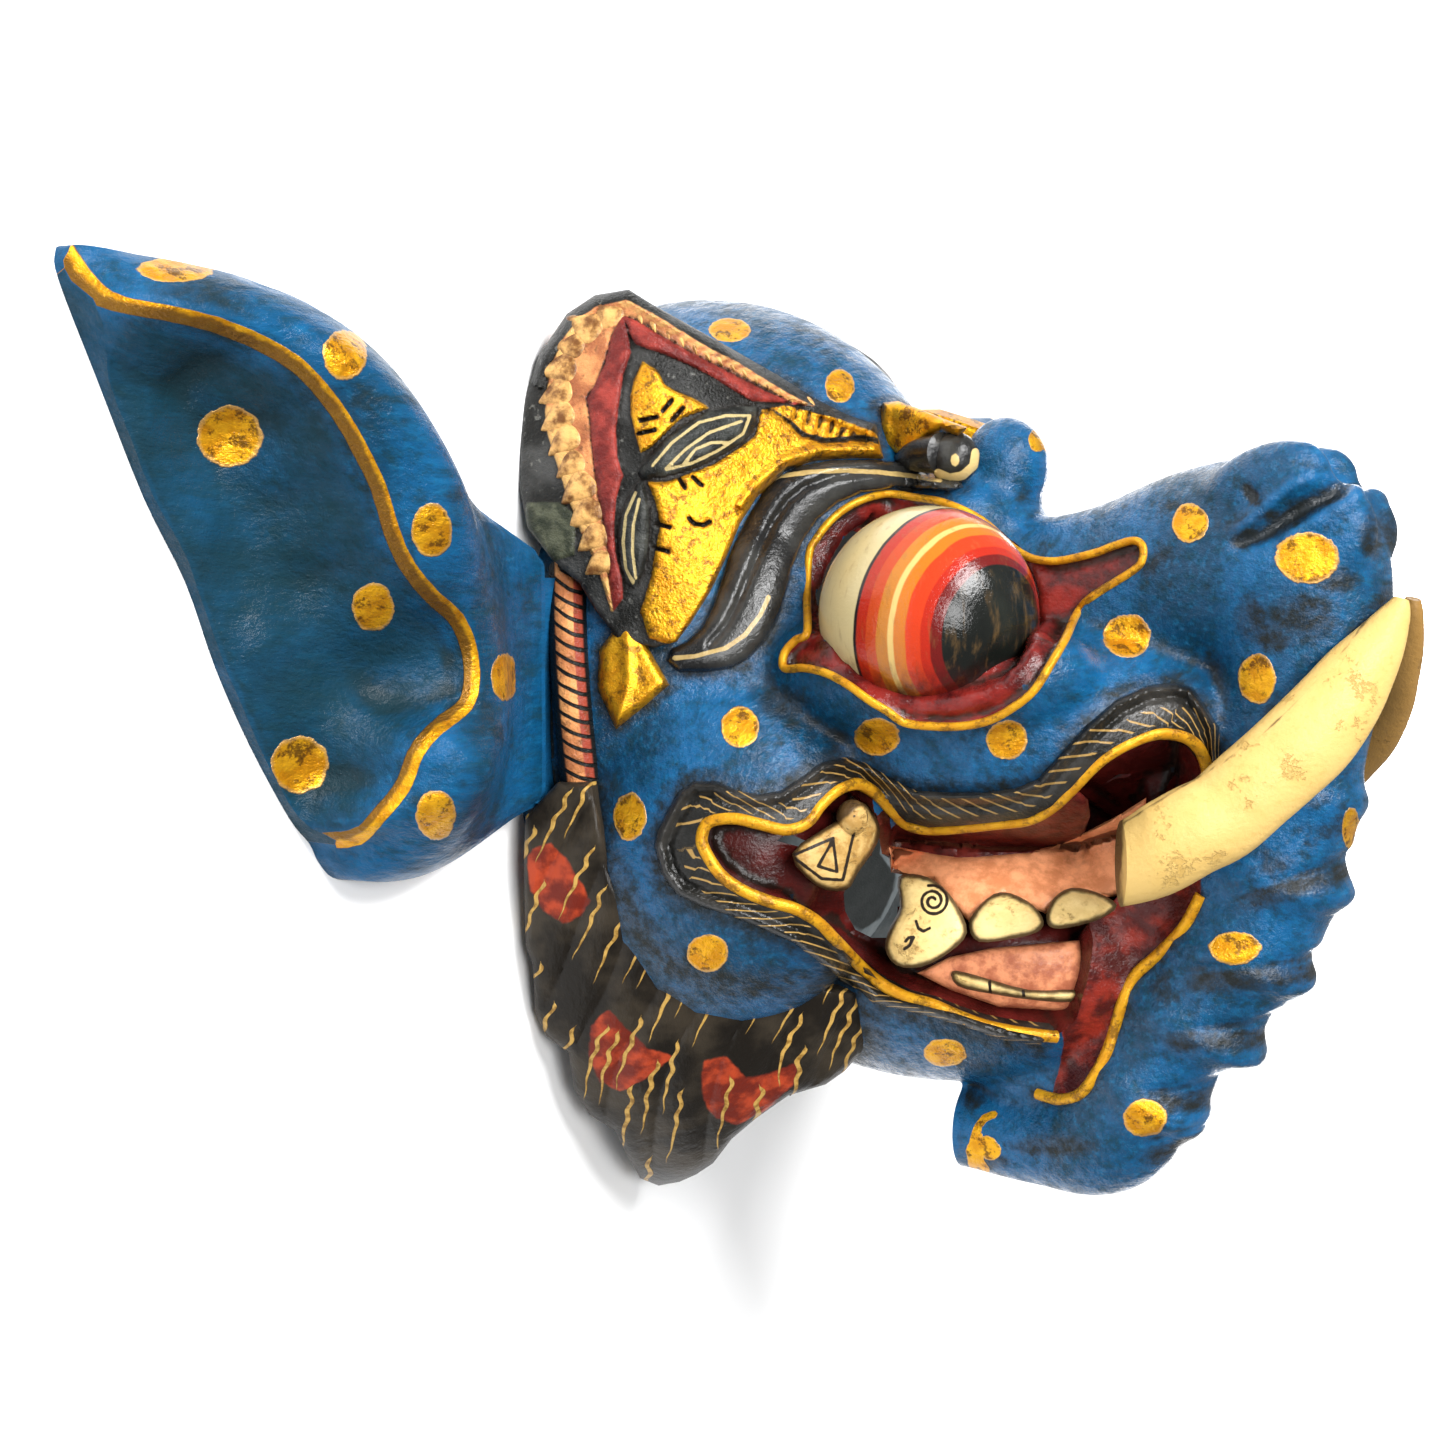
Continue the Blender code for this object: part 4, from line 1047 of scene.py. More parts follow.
RED_SIDE = [
    (128, -30), (127.5, -46), (123, -54.5), (116.5, -61.5), (109.5, -68), (106.5, -75), (104.5, -82),
    (102, -89), (98, -96), (94.5, -99.5), (89.5, -100.5), (88, -98.5), (89.5, -93.5), (91, -85.5),
    (90, -80), (92, -60), (96, -45),
]
# The seat that is sunk under each eyeball: across, up, radius and depth
EYE_SEAT = (55.6, 30.5, 28, 9)
EYE_CENTRE = (-45, 29, 91)
EYE_RADIUS = 26.0
TUSK_EDGE = [
    (107.5, -26.5), (121, -18), (135.5, -9.5), (150.5, 2.5), (162.5, 15), (173, 29), (178.5, 35.5),
]
# The tusk: across, up, sideways place, half width, half thickness
TUSK = [
    (106.2, -37.7, -47, 11.3, 8.5), (115, -34.5, -47, 12, 8.5), (125, -29, -44, 12, 8.5),
    (133, -25, -40.5, 12, 8), (141, -18, -37, 12, 8), (149, -11, -33, 12, 7.5), (157, -3.5, -29, 12, 7),
    (164, 5, -24, 11, 6.5), (169.5, 13, -18.5, 9.5, 6), (175, 21, -13.5, 7, 5), (179.5, 29, -9, 4, 3),
    (181, 33, -7.5, 2, 2),
]
# The trunk's ledges, and the snout's wrinkles: a line, its height and its half width
TRUNK_LEDGES = [
    [(135.4, -45.2), (144.6, -42.2), (153.8, -39.9), (159.9, -38.3), (166.8, -34.9)],
    [(120.9, -65.5), (143.9, -64), (155.3, -62.8), (160.7, -60.2)],
    [(115.5, -81.2), (134.7, -80.4), (142.3, -80.1), (148.8, -77.4)],
    [(109.4, -98.4), (124, -96.9), (131.2, -95.4), (135, -93.5)],
    [(109.4, -111.8), (118.6, -110.7), (123.2, -109.5), (127.4, -107.6)],
]
WRINKLES = [
    ([(137.2, 50.1), (144.8, 58.2), (151.3, 63.7), (156.8, 65.3)], 2.4, 1.8),
    ([(137.7, 48.5), (144.8, 50.8), (153.1, 55.9), (159.6, 59.6), (164.2, 61.9)], -3.4, 2.2),
    ([(151.3, 49.9), (159.6, 55), (167.9, 60.5)], 2.0, 2.6), ([(139.8, 62.5), (142, 59.2)], -1.8, 1.4),
]
# Where the dark glaze and the painted shade lie thick: across, up, half width, half height
DARKS = [
    (173, 50, 4.5, 9), (163, 38, 9, 5), (155, 28, 13, 9), (147, 23, 9, 6), (146, 55, 9, 3),
    (156, 58, 7, 3), (141, 28, 6, 8), (150, 0, 8, 9), (72, -117, 6, 3), (88, -113, 16, 4),
    (66, -100, 6, 4), (-33, -47, 5, 16), (-18, -75, 14, 7), (10, -84, 16, 5), (44, 84, 8, 5),
    (62, 80, 5, 6), (95, 62, 10, 5), (16, 5, 9, 6),
]
# The gold spots: across, up, half width, half height
EAR_SPOTS = [
    (-146, 120.7, 10.7, 3.3), (-100.7, 98, 6, 6.7), (-131.3, 76.1, 8.7, 8.3), (-77.5, 51.3, 5.6, 7.3),
    (-93.2, 30.8, 5.7, 6.7), (-58, 12.1, 3.7, 6.3), (-112.7, -11.3, 7.7, 7.7), (-76.4, -24.7, 5.3, 6.7),
]
HEAD_SPOTS = [
    (2, 104.7, 5.6, 3.2), (31.3, 89.7, 4, 4.5), (83.9, 75.3, 2.4, 3.2), (4.7, -1.2, 5.1, 5.6),
    (-24.7, -25.2, 4.4, 6.4), (-3.9, -61.5, 5.6, 5.1), (41.2, -3.9, 6.1, 5.1), (75.9, -4.7, 5.6, 5.3),
    (107.9, 23.1, 6.4, 5.9), (124.7, 53.2, 4.8, 5.3), (155.9, 43.9, 8.7, 6.9), (142.5, 11.6, 5.1, 6.7),
    (167.6, -28.4, 2.4, 5.9), (136.7, -60.1, 6.9, 4.5), (112.7, -105.5, 5.9, 5.1),
    (59.3, -88.1, 5.9, 3.7),
]
# The gold squiggle on the trunk's tip: lines and their half widths
SQUIGGLE = [
    ([(72.4, -104.5), (69.8, -105.5), (68, -108.1), (67, -111.1), (66.2, -114.7)], 1.05),
    ([(67.5, -114), (70.5, -112.7), (71.8, -114.2)], 2.6),
    ([(67.2, -114), (67.6, -117.5), (69, -119.5)], 2.2),
]

# The ear: its outline, the ridge inside it, the gold line on it, and how high each point stands
EAR_OUTLINE = [
    (-45, 41.5, 10), (-53.5, 50, 11), (-65, 59, 15), (-74, 70.5, 19), (-80.5, 83, 22), (-87, 93.5, 23),
    (-95.5, 102.5, 22), (-106, 110.5, 20), (-121, 117, 17), (-138, 122, 14), (-154.5, 125, 9),
    (-170.5, 127.5, 4.5), (-174.5, 125.5, 3), (-173.5, 118, 3), (-163.5, 92, 3), (-151, 60, 3),
    (-140, 37.5, 3), (-132, 14.5, 3), (-123, -6, 3), (-112.5, -25.5, 3), (-106, -32.5, 4),
    (-100.5, -37.5, 7), (-93.5, -42, 10), (-85.5, -42.5, 12), (-75.5, -40, 13), (-65, -34, 13),
    (-53.5, -25.5, 11), (-43, -18, 10), (-43, 0, 10), (-44, 20, 10),
]
EAR_RIDGE = [
    (-168, 117, 6), (-161, 113, 11), (-148, 110.5, 17), (-135.5, 107.5, 20), (-124, 103, 23),
    (-113.5, 97, 26), (-106, 89.5, 28), (-99.5, 80.5, 29), (-94.5, 71.5, 30), (-90.5, 63, 30),
    (-87, 51.5, 30), (-83, 42.5, 30), (-76.5, 34.5, 30), (-70, 28.5, 29), (-66.5, 20.5, 28),
    (-65.5, 11.5, 28), (-67.5, 4, 28), (-75.5, -2.5, 28), (-80.5, -8.5, 26), (-84, -17.5, 23),
    (-90.5, -25.5, 19), (-97, -32, 13),
]
EAR_HOLLOW = [
    (-140, 95, 9), (-150, 80, 6.5), (-125, 80, 12), (-115, 60, 14), (-135, 50, 8), (-105, 40, 15),
    (-120, 20, 10), (-95, 20, 15), (-90, 5, 15), (-108, 0, 10), (-100, -15, 10), (-52, 12, 12),
    (-56, 30, 14), (-56, -10, 14),
]
EAR_ROOT = ((-89, -79), (-15, 38), (0, 9.6))
EAR_BOARD_START = -86
EAR_SEAT = ((-130, -86), (-46, 52), (-30, 20))
EAR_GAP = 0.3

# Paint colours
BLUE = (0.003, 0.078, 0.200)
BLUE_DEEP = (0.002, 0.034, 0.078)
TEAL = (0.008, 0.032, 0.040)
GLAZE_AND_SHADE = (0.012, 0.012, 0.009)
GOLD = (0.72, 0.36, 0.012)
GOLD_DEEP = (0.55, 0.23, 0.006)
GOLD_BROWN = (0.085, 0.034, 0.006)
BLACK = (0.007, 0.007, 0.006)
IVORY = (0.80, 0.60, 0.26)
IVORY_BROWN = (0.46, 0.27, 0.08)
MAROON = (0.11, 0.012, 0.010)


def dome(depth, edge, top):
    """A rounded height: nothing at an outline, and top from edge mm inside it."""
    share = np.clip(depth / edge, 0.0, 1.0)
    return top * np.sqrt(np.clip(1.0 - (1.0 - share) ** 2, 0.0, 1.0))


def cushion(loop, edge, top, base=0.0):
    """A height over drawn places: base at the outline, and top more from edge mm inside it."""

    def height(points):
        return base + dome(-to_edge(points, loop), edge, top)

    return height


def least(fields, count):
    """The smallest of several fields at each of count points."""
    best = np.full(count, FAR)
    for field in fields:
        best = np.minimum(best, field)
    return best


def dress(obj, paints, fields=None, stands_for=None, angle=40.0):
    """Gives a piece its fields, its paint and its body."""
    for name, values in (fields or {}).items():
        keep(obj, name, values)
    store_hollowness(obj)
    shade(obj, angle)
    for paint in paints:
        obj.data.materials.append(paint)
    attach(obj, "root")
    if stands_for:
        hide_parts(stands_for)
    return obj


def gold_of(paint, wear=0.85, scale=1.0):
    """Brush-laid gold, mottled with brown glaze. Gives its colour."""
    colour = paint.mottled((240 * scale, 4.0), (0.38, 0.62), GOLD_DEEP, GOLD)
    patches = paint.scaled(paint.noise(1500 * scale, 4.0, 0.7), 0.5, paint.noise(260 * scale, 4.0, 0.6))
    return paint.mix(paint.step(patches, 0.76, 0.90, 0.0, wear), colour, GOLD_BROWN)


def brushed(paint, turn=(0.0, 0.0, 0.5)):
    """A fine grain of brush strokes, as a height."""
    strokes = paint.noise(900, 4.0, 0.65, stretch=(0.22, 1.0, 1.0), turn=turn)
    lumps = paint.scaled(paint.noise(240, 4.0, 0.6), 1.3, strokes)
    return paint.scaled(paint.noise(1600, 3.0, 0.6), 0.35, lumps)


def blue_paint(name, gold_line=False):
    """Streaky blue lacquer over black, with gold spots. An ear's has a gold line on its ridge too."""
    paint = Paint(name)
    patchy = paint.noise(42, 5.0, 0.6, stretch=(1.0, 0.55, 1.0), turn=(0.2, 0.3, 0.9))
    streaks = paint.noise(300, 6.0, 0.7, stretch=(0.13, 1.0, 1.0), turn=(0.0, 0.6, 1.0))
    worn_through = paint.noise(75, 5.0, 0.65, stretch=(0.5, 1.0, 1.0), turn=(0.1, 0.2, 2.2))
    colour = paint.mix(paint.step(patchy, 0.36, 0.62), BLUE_DEEP, BLUE)
    fine = paint.noise(620, 4.0, 0.65, stretch=(0.10, 1.0, 1.0), turn=(0.0, 0.5, 0.9))
    colour = paint.mix(paint.step(fine, 0.45, 0.75, 0.0, 0.5), colour, (0.006, 0.125, 0.270))
    colour = paint.mix(paint.step(streaks, 0.44, 0.72, 0.0, 0.75), colour, TEAL)
    hollow = paint.field("hollow")
    # Dark glaze and painted shade from the shade field and the hollows, and black where the blue is worn
    # through
    dark = paint.scaled(streaks, 2.0, paint.scaled(paint.field("shade"), 1.3, -1.35))
    dark = paint.sum("MAXIMUM", dark, 0.0)
    dark = paint.sum("MAXIMUM", paint.step(paint.scaled(streaks, 0.2, hollow), 0.14, 0.34), dark)
    over = paint.scaled(streaks, 0.35, worn_through)
    dark = paint.sum("MAXIMUM", paint.step(over, 0.70, 0.92, 0.0, 0.8), dark)
    colour = paint.mix(paint.sum("MULTIPLY", paint.sum("MINIMUM", dark, 1.0), 0.93), colour, GLAZE_AND_SHADE)
    # A painted highlight: raised places are a lighter blue
    raised = paint.step(hollow, -0.40, -0.12, 0.4, 0.0)
    colour = paint.mix(raised, colour, (0.010, 0.115, 0.29))
    if gold_line:
        recess = paint.scaled(worn_through, 1.1, paint.step(paint.field("line"), 1.0, 12.0, -0.35, 0.22))
        recess = paint.sum("MAXIMUM", paint.sum("MINIMUM", recess, 0.85), 0.0)
        colour = paint.mix(recess, colour, (0.006, 0.028, 0.040))
    else:
        red = paint.scaled(paint.noise(420, 3.0), 0.8, paint.field("red"))
        reds = paint.mottled((150, 4.0), (0.4, 0.65), (0.05, 0.006, 0.005), (0.20, 0.018, 0.010))
        colour = paint.mix(paint.step(red, 0.6, 0.2), colour, reds)
    spot = paint.scaled(paint.noise(330, 3.0, 0.6), 0.30, paint.field("spot"))
    on_gold = paint.step(spot, 1.17, 1.11)
    golden = paint.mix(paint.step(spot, 0.98, 1.12, 0.0, 0.7), gold_of(paint), (0.60, 0.36, 0.13))
    golden = paint.mix(paint.step(spot, 1.13, 1.17, 0.0, 0.6), golden, (0.12, 0.06, 0.02))
    if gold_line:
        side = paint.field("line")
        away = paint.sum("ABSOLUTE", paint.sum("SUBTRACT", side, 1.3))
        line = paint.scaled(paint.noise(300, 3.0), 0.5, away)
        on_line = paint.step(line, 2.55, 2.3)
        shadow = paint.scaled(paint.noise(170, 4.0, 0.6), 3.0, side)
        shadow = paint.scaled(paint.field("high"), 1.3, shadow)
        shadow = paint.step(shadow, 2.5, 3.6, 0.0, 0.9)
        line_gold = paint.mix(shadow, gold_of(paint, 0.4), (0.15, 0.070, 0.012))
        golden = paint.mix(on_line, golden, line_gold)
        on_gold = paint.sum("MAXIMUM", on_gold, on_line)
    colour = paint.mix(on_gold, colour, golden)
    height = paint.scaled(on_gold, 0.5, brushed(paint))
    roughness = paint.blend(on_gold, paint.step(patchy, 0.3, 0.7, 0.40, 0.55), 0.38)
    metallic = paint.sum("MULTIPLY", on_gold, 0.65)
    gloss = 0.45 if gold_line else 1.0
    coat = paint.blend(on_gold, paint.step(streaks, 0.40, 0.62, gloss, 0.35 * gloss), 0.3)
    lacquer = {"coat": coat, "coat_roughness": 0.055}
    return paint.finish(colour, roughness, height, 0.00038, metallic=metallic, **lacquer)


def plain_paint(name, low, high, glaze_and_shade=GLAZE_AND_SHADE, scale=120.0, coat=0.6, roughness=0.35):
    """One colour, uneven, with dark glaze and painted shade in the hollows."""
    paint = Paint(name)
    colour = paint.mottled((scale, 5.0, 0.6), (0.35, 0.65), low, high)
    streaks = paint.noise(420, 4.0, 0.6, stretch=(0.3, 1.0, 1.0), turn=(0.3, 0.8, 0.4))
    # Dark glaze and painted shade in the hollows
    dark = paint.step(paint.scaled(streaks, 0.22, paint.field("hollow")), 0.14, 0.34, 0.0, 0.85)
    colour = paint.mix(dark, colour, glaze_and_shade)
    return paint.finish(colour, roughness, brushed(paint), coat=coat)


def gold_paint(name, metallic=0.8, dull=0.0):
    """Gold leaf, with dark glaze and painted shade in the hollows. dull mixes in ochre."""
    paint = Paint(name)
    colour = paint.mix(dull, gold_of(paint), (0.34, 0.17, 0.015))
    # Dark glaze and painted shade in the hollows
    colour = paint.mix(paint.step(paint.field("hollow"), 0.10, 0.34, 0.0, 0.85), colour, GOLD_BROWN)
    return paint.finish(colour, 0.34, brushed(paint), 0.00024, coat=0.25, metallic=metallic)


def band_paint():
    """Black gloss with short gold strokes across the band."""
    paint = Paint("lip_band_paint")
    pitch = 5.2
    inner = paint.field("inward")
    wander = paint.scaled(paint.noise(26, 2.0), 4.0, paint.field("along"))
    turn = paint.sum("DIVIDE", paint.scaled(inner, 0.4, wander), pitch)
    away = paint.off_middle(turn)
    stroke = paint.step(away, 0.11, 0.06)
    reach = paint.scaled(paint.noise(140, 2.0), 7.5, 3.6)
    stroke = paint.sum("MULTIPLY", stroke, paint.step(inner, 1.9, 2.2))
    stroke = paint.sum("MULTIPLY", stroke, paint.sum("LESS_THAN", inner, reach))
    ground = paint.mottled((80, 4.0), (0.4, 0.7), BLACK, (0.030, 0.028, 0.025))
    colour = paint.mix(paint.sum("MULTIPLY", stroke, 0.85), ground, (0.36, 0.22, 0.065))
    return paint.finish(colour, 0.36, brushed(paint), 0.00024, coat=0.9, coat_roughness=0.06)


def eye_paint():
    """A black pupil inside rings of red, orange and ivory, with painted shade towards the lower lid."""
    paint = Paint("eye_paint")
    wander = paint.scaled(paint.noise(70, 2.0), 3.0, -1.5)
    turn = paint.sum("ADD", paint.field("turn"), wander)
    # Each ring: the angle from the pupil's middle where it starts, and its colour
    rings = [
        (36, (0.11, 0.006, 0.005)), (42, (0.34, 0.016, 0.006)), (47, (0.46, 0.034, 0.008)),
        (55, (0.44, 0.125, 0.010)), (61, (0.56, 0.38, 0.12)), (64, (0.40, 0.14, 0.012)),
        (70, (0.40, 0.045, 0.008)), (76, (0.34, 0.018, 0.006)), (82, (0.015, 0.008, 0.008)),
        (84, (0.50, 0.41, 0.21)),
    ]
    colour = paint.mottled((60, 3.0), (0.4, 0.7), (0.005, 0.006, 0.005), (0.012, 0.014, 0.011))
    for start, ring in rings:
        colour = paint.mix(paint.step(turn, start - 0.5, start + 0.5), colour, ring)
    streak = paint.noise(500, 4.0, 0.6, stretch=(1.0, 0.2, 1.0))
    colour = paint.mix(paint.step(streak, 0.52, 0.75, 0.0, 0.35), colour, (0.16, 0.09, 0.03))
    # Painted shade: dark red towards the lower lid
    low = paint.scaled(streak, 0.35, paint.field("low"))
    colour = paint.mix(paint.step(low, 0.52, 0.92, 0.0, 0.94), colour, (0.032, 0.004, 0.003))
    return paint.finish(colour, 0.32, brushed(paint, (0.0, 0.0, 1.5)), 0.00010, coat=1.0, coat_roughness=0.04)


def tooth_paint(name, brown=0.25, tusk=False):
    """Ivory with a painted dark outline, and drawn marks where the field says so."""
    paint = Paint(name)
    colour = paint.mottled((90, 5.0, 0.65), (0.38, 0.68), IVORY, (0.66, 0.46, 0.17))
    grain = paint.noise(480, 5.0, 0.7, stretch=(0.22, 1.0, 0.6), turn=(0.4, 0.2, 0.5))
    colour = paint.mix(paint.step(grain, 0.52, 0.74, 0.0, 0.65), colour, IVORY_BROWN)
    flecks = paint.scaled(paint.noise(900, 4.0, 0.7, stretch=(0.4, 1.0, 1.0)), 0.6, paint.noise(90, 3.0))
    colour = paint.mix(paint.step(flecks, 0.95, 1.03, 0.0, 0.6), colour, (0.16, 0.085, 0.025))
    rubbed = paint.scaled(grain, 0.5, paint.noise(130, 5.0, 0.65))
    rubbed = paint.step(rubbed, 1.0 - 0.5 * brown, 1.16 - 0.5 * brown, 0.0, 0.8)
    colour = paint.mix(rubbed, colour, (0.26, 0.14, 0.035))
    if tusk:
        colour = paint.mix(0.75, colour, (0.50, 0.32, 0.09))
        colour = paint.mix(paint.sum("MULTIPLY", paint.field("far"), 0.85), colour, (0.20, 0.10, 0.025))
    if brown > 0.5:
        colour = paint.mix(0.6, colour, (0.34, 0.19, 0.05))
    edge = paint.scaled(paint.noise(300, 3.0), -1.3, paint.field("edge"))
    colour = paint.mix(paint.step(edge, 1.0, -0.1, 0.0, 0.92), colour, (0.04, 0.022, 0.010))
    mark = paint.scaled(paint.noise(500, 2.0), 0.35, paint.field("mark"))
    colour = paint.mix(paint.step(mark, 0.70, 0.50), colour, (0.02, 0.014, 0.010))
    height = paint.scaled(paint.step(flecks, 0.92, 1.0), -1.0, brushed(paint))
    return paint.finish(colour, 0.45, height, 0.0002, coat=0.25, coat_roughness=0.2)


def rope_paint():
    """Peach, red towards the face, with dark strokes that slant over it."""
    paint = Paint("rope_paint")
    across = paint.field("across")
    along = paint.scaled(paint.noise(150, 2.0), 1.2, paint.field("along"))
    slant = paint.scaled(across, -0.5, along)
    slant = paint.scaled(paint.sum("MULTIPLY", across, across), 0.05, slant)
    away = paint.off_middle(paint.sum("DIVIDE", slant, 3.9))
    stroke = paint.step(away, 0.17, 0.11)
    ground = paint.mottled((110, 3.0), (0.4, 0.65), (0.40, 0.14, 0.05), (0.66, 0.29, 0.10))
    ground = paint.mix(paint.step(across, 1.0, 1.5), ground, (0.26, 0.045, 0.025))
    rubbed = paint.step(paint.noise(420, 5.0, 0.65), 0.52, 0.68, 0.0, 0.7)
    ground = paint.mix(rubbed, ground, (0.09, 0.035, 0.012))
    edge = paint.step(paint.sum("ABSOLUTE", across), 3.3, 4.0)
    colour = paint.mix(paint.sum("MAXIMUM", stroke, edge), ground, BLACK)
    height = paint.scaled(stroke, -1.2, brushed(paint))
    return paint.finish(colour, 0.4, height, 0.0005, coat=0.45, coat_roughness=0.15)


def beard_paint():
    """Charcoal with loose gold hairs, wavy at their upper end, and orange-red patches."""
    paint = Paint("beard_paint")
    across = paint.scaled(paint.noise(55, 2.0), 4.2, paint.field("across"))
    down = paint.field("down")
    number = paint.sum("FLOOR", paint.sum("DIVIDE", across, 3.9))
    chance = paint.put("ShaderNodeTexWhiteNoise", {"W": number}, noise_dimensions="1D").outputs["Value"]
    place_in = paint.sum("FRACT", paint.scaled(chance, 7.3, paint.sum("DIVIDE", down, 31.0)))
    wave = paint.sum("SINE", paint.scaled(chance, 9.0, paint.sum("MULTIPLY", down, 1.15)))
    wavy = paint.sum("MULTIPLY", wave, paint.step(place_in, 0.55, 0.85, 0.10, 0.50))
    lane = paint.sum("DIVIDE", paint.sum("ADD", wavy, across), 3.9)
    away = paint.off_middle(lane)
    thick = paint.step(place_in, 0.34, 0.75, 0.02, 0.13)
    thick = paint.sum("MULTIPLY", thick, paint.step(place_in, 0.99, 0.95))
    hair = paint.step(paint.sum("SUBTRACT", away, thick), 0.03, -0.01)
    hair = paint.sum("MULTIPLY", hair, paint.step(place_in, 0.34, 0.40))
    hair = paint.sum("MULTIPLY", hair, paint.sum("GREATER_THAN", chance, 0.16))
    red = paint.scaled(paint.noise(200, 4.0), 2.4, paint.field("red"))
    ground = paint.mottled((70, 5.0), (0.38, 0.66), (0.009, 0.007, 0.005), (0.036, 0.028, 0.019))
    reds = paint.mottled((160, 4.0), (0.4, 0.65), (0.13, 0.014, 0.007), (0.40, 0.050, 0.016))
    colour = paint.mix(paint.step(red, 1.7, 0.9, 0.0, 0.92), ground, reds)
    gold = paint.mottled((500, 3.0), (0.4, 0.7), (0.46, 0.28, 0.07), (0.20, 0.105, 0.02))
    colour = paint.mix(hair, colour, gold)
    grain = paint.noise(700, 4.0, 0.6, stretch=(1.0, 0.2, 0.6), turn=(0.0, 0.0, -0.4))
    height = paint.scaled(hair, 0.5, grain)
    return paint.finish(colour, 0.42, height, 0.0003, coat=0.35, coat_roughness=0.2)


def panel_paint():
    """The crown panel's fields: black rim, peach scallops, red arms, gold ground and dark leaves."""
    paint = Paint("crown_panel_paint")
    rough = paint.scaled(paint.noise(380, 3.0), 0.7, -0.35)

    def on(name, soft=0.25):
        return paint.step(paint.sum("ADD", paint.field(name), rough), soft, -soft)

    strokes = paint.noise(560, 4.0, 0.6, stretch=(0.18, 1.0, 1.0), turn=(0.0, 0.0, 0.9))
    colour = paint.mottled((90, 4.0), (0.4, 0.7), BLACK, (0.05, 0.05, 0.048))
    # Grey brush streaks on the black ground, painted as its highlights
    colour = paint.mix(paint.step(strokes, 0.60, 0.72, 0.0, 0.5), colour, (0.20, 0.20, 0.18))
    green = paint.mottled((260, 4.0), (0.4, 0.66), (0.020, 0.024, 0.014), (0.075, 0.080, 0.050))
    colour = paint.mix(on("green"), colour, green)
    peach = paint.mottled((180, 4.0), (0.38, 0.66), (0.28, 0.09, 0.035), (0.60, 0.25, 0.09))
    peach = paint.mix(paint.step(paint.field("scallop"), 0.2, 0.9), peach, (0.60, 0.34, 0.11))
    peach = paint.mix(paint.step(strokes, 0.56, 0.70, 0.0, 0.6), peach, (0.10, 0.045, 0.02))
    colour = paint.mix(on("peach"), colour, peach)
    red = paint.mottled((200, 4.0), (0.38, 0.68), (0.11, 0.012, 0.010), (0.29, 0.038, 0.028))
    colour = paint.mix(on("red"), colour, red)
    golden = gold_of(paint, 0.8, 1.5)
    colour = paint.mix(on("gold"), colour, golden)
    leaf = paint.mottled((150, 3.0), (0.4, 0.7), (0.010, 0.011, 0.010), (0.045, 0.048, 0.042))
    colour = paint.mix(on("leaf"), colour, leaf)
    vein = paint.step(paint.sum("ADD", paint.field("vein"), paint.sum("MULTIPLY", rough, 0.4)), 0.5, 0.3)
    colour = paint.mix(vein, colour, (0.42, 0.33, 0.15))
    colour = paint.mix(paint.step(paint.field("nick"), 0.75, 0.45), colour, (0.02, 0.012, 0.006))
    # Dark glaze and painted shade in the hollows
    hollow = paint.scaled(strokes, 0.12, paint.field("hollow"))
    colour = paint.mix(paint.step(hollow, 0.10, 0.22, 0.0, 0.9), colour, (0.012, 0.010, 0.008))
    metal = paint.sum("MULTIPLY", on("gold"), 0.85)
    height = paint.sum("ADD", brushed(paint), paint.noise(1400, 3.0))
    return paint.finish(colour, 0.38, height, 0.0003, coat=0.5, coat_roughness=0.14, metallic=metal)


def off_spot(drawn, spot):
    """How far each drawn place is from a spot's middle: 1 on its edge."""
    x, y, wide, high = spot
    return np.sqrt(((drawn[:, 0] - x) / wide) ** 2 + ((drawn[:, 1] - y) / high) ** 2)


def spots_field(points, spots, surface, reach=26.0):
    """How far each point is from the nearest gold spot: 1 on a spot's edge."""
    drawn = drawn_places(points)
    folded = points.copy()
    folded[:, 0] = -np.abs(folded[:, 0])
    best = np.full(len(points), FAR)
    for spot in spots:
        centre = np.array(surface(spot[:2])[0])
        near = np.linalg.norm(folded - centre, axis=1) * TO_MM < reach
        best = np.where(near, np.minimum(best, off_spot(drawn, spot)), best)
    return best


# The head's skin, with its mouth, eye sockets and hollows cut in it


def mouth_and_eye_cuts(skin):
    """The two solids that sink the mouth and the eye sockets into the skin."""
    mouth = MOUTH_TOP + MOUTH_END + LOWER_LIP
    across, up, reach, sunk = EYE_SEAT
    turns = (math.tau * k / 24 for k in range(24))
    seat = [(across + reach * math.cos(a), up + reach * math.sin(a)) for a in turns]
    mouth_shapes = both(patch(skin, mouth, 14, 13, grid=2.5))
    mouth_cut = shaped(fuse(joined("mouth_cut", mouth_shapes), CUT_VOXEL, 1))
    eye_shapes = both(patch(skin, EYE, 5, 2.5, grid=2.5)) + both(patch(skin, seat, 5, sunk, grid=2.5))
    eye_cut = shaped(fuse(joined("eye_cut", eye_shapes), CUT_VOXEL, 2))
    return mouth_cut, eye_cut


def hollow_cuts():
    """What is under the floor, the hollow for the face, and the seats of the ears."""
    hollows = [
        block((-300, 300), (-200, 200), (-120, 0)),
        ball((0, 5.2, 0.7), (68, 88, 77.3), turn_x=3),
        ball((0, 38.3, 1.1), (45, 56, 45), turn_x=-4),
        ball((0, -30, 60.3), (32, 30, 31), turn_x=2),
        block((-16, 16), (-130, -88.5), (30, 84.5)),
    ]
    (x0, x1), (y0, y1), (z0, z1) = EAR_ROOT
    hollows += both(block((x0 - 30, x1 + EAR_GAP), (y0 - EAR_GAP, y1 + EAR_GAP), (z0 - 30, z1 + EAR_GAP)))
    (x0, x1), (y0, y1), (z0, z1) = EAR_SEAT
    hollows += both(block((x0, x1 + EAR_GAP), (y0, y1), (z0, z1)))
    return hollows


def first_near(spot, groups):
    """The place, counted from one, of the first group with a surface at a spot, or zero."""
    for number, trees in enumerate(groups, start=1):
        if any(tree.find_nearest(spot, CUT_NEAR)[0] is not None for tree in trees):
            return number
    return 0


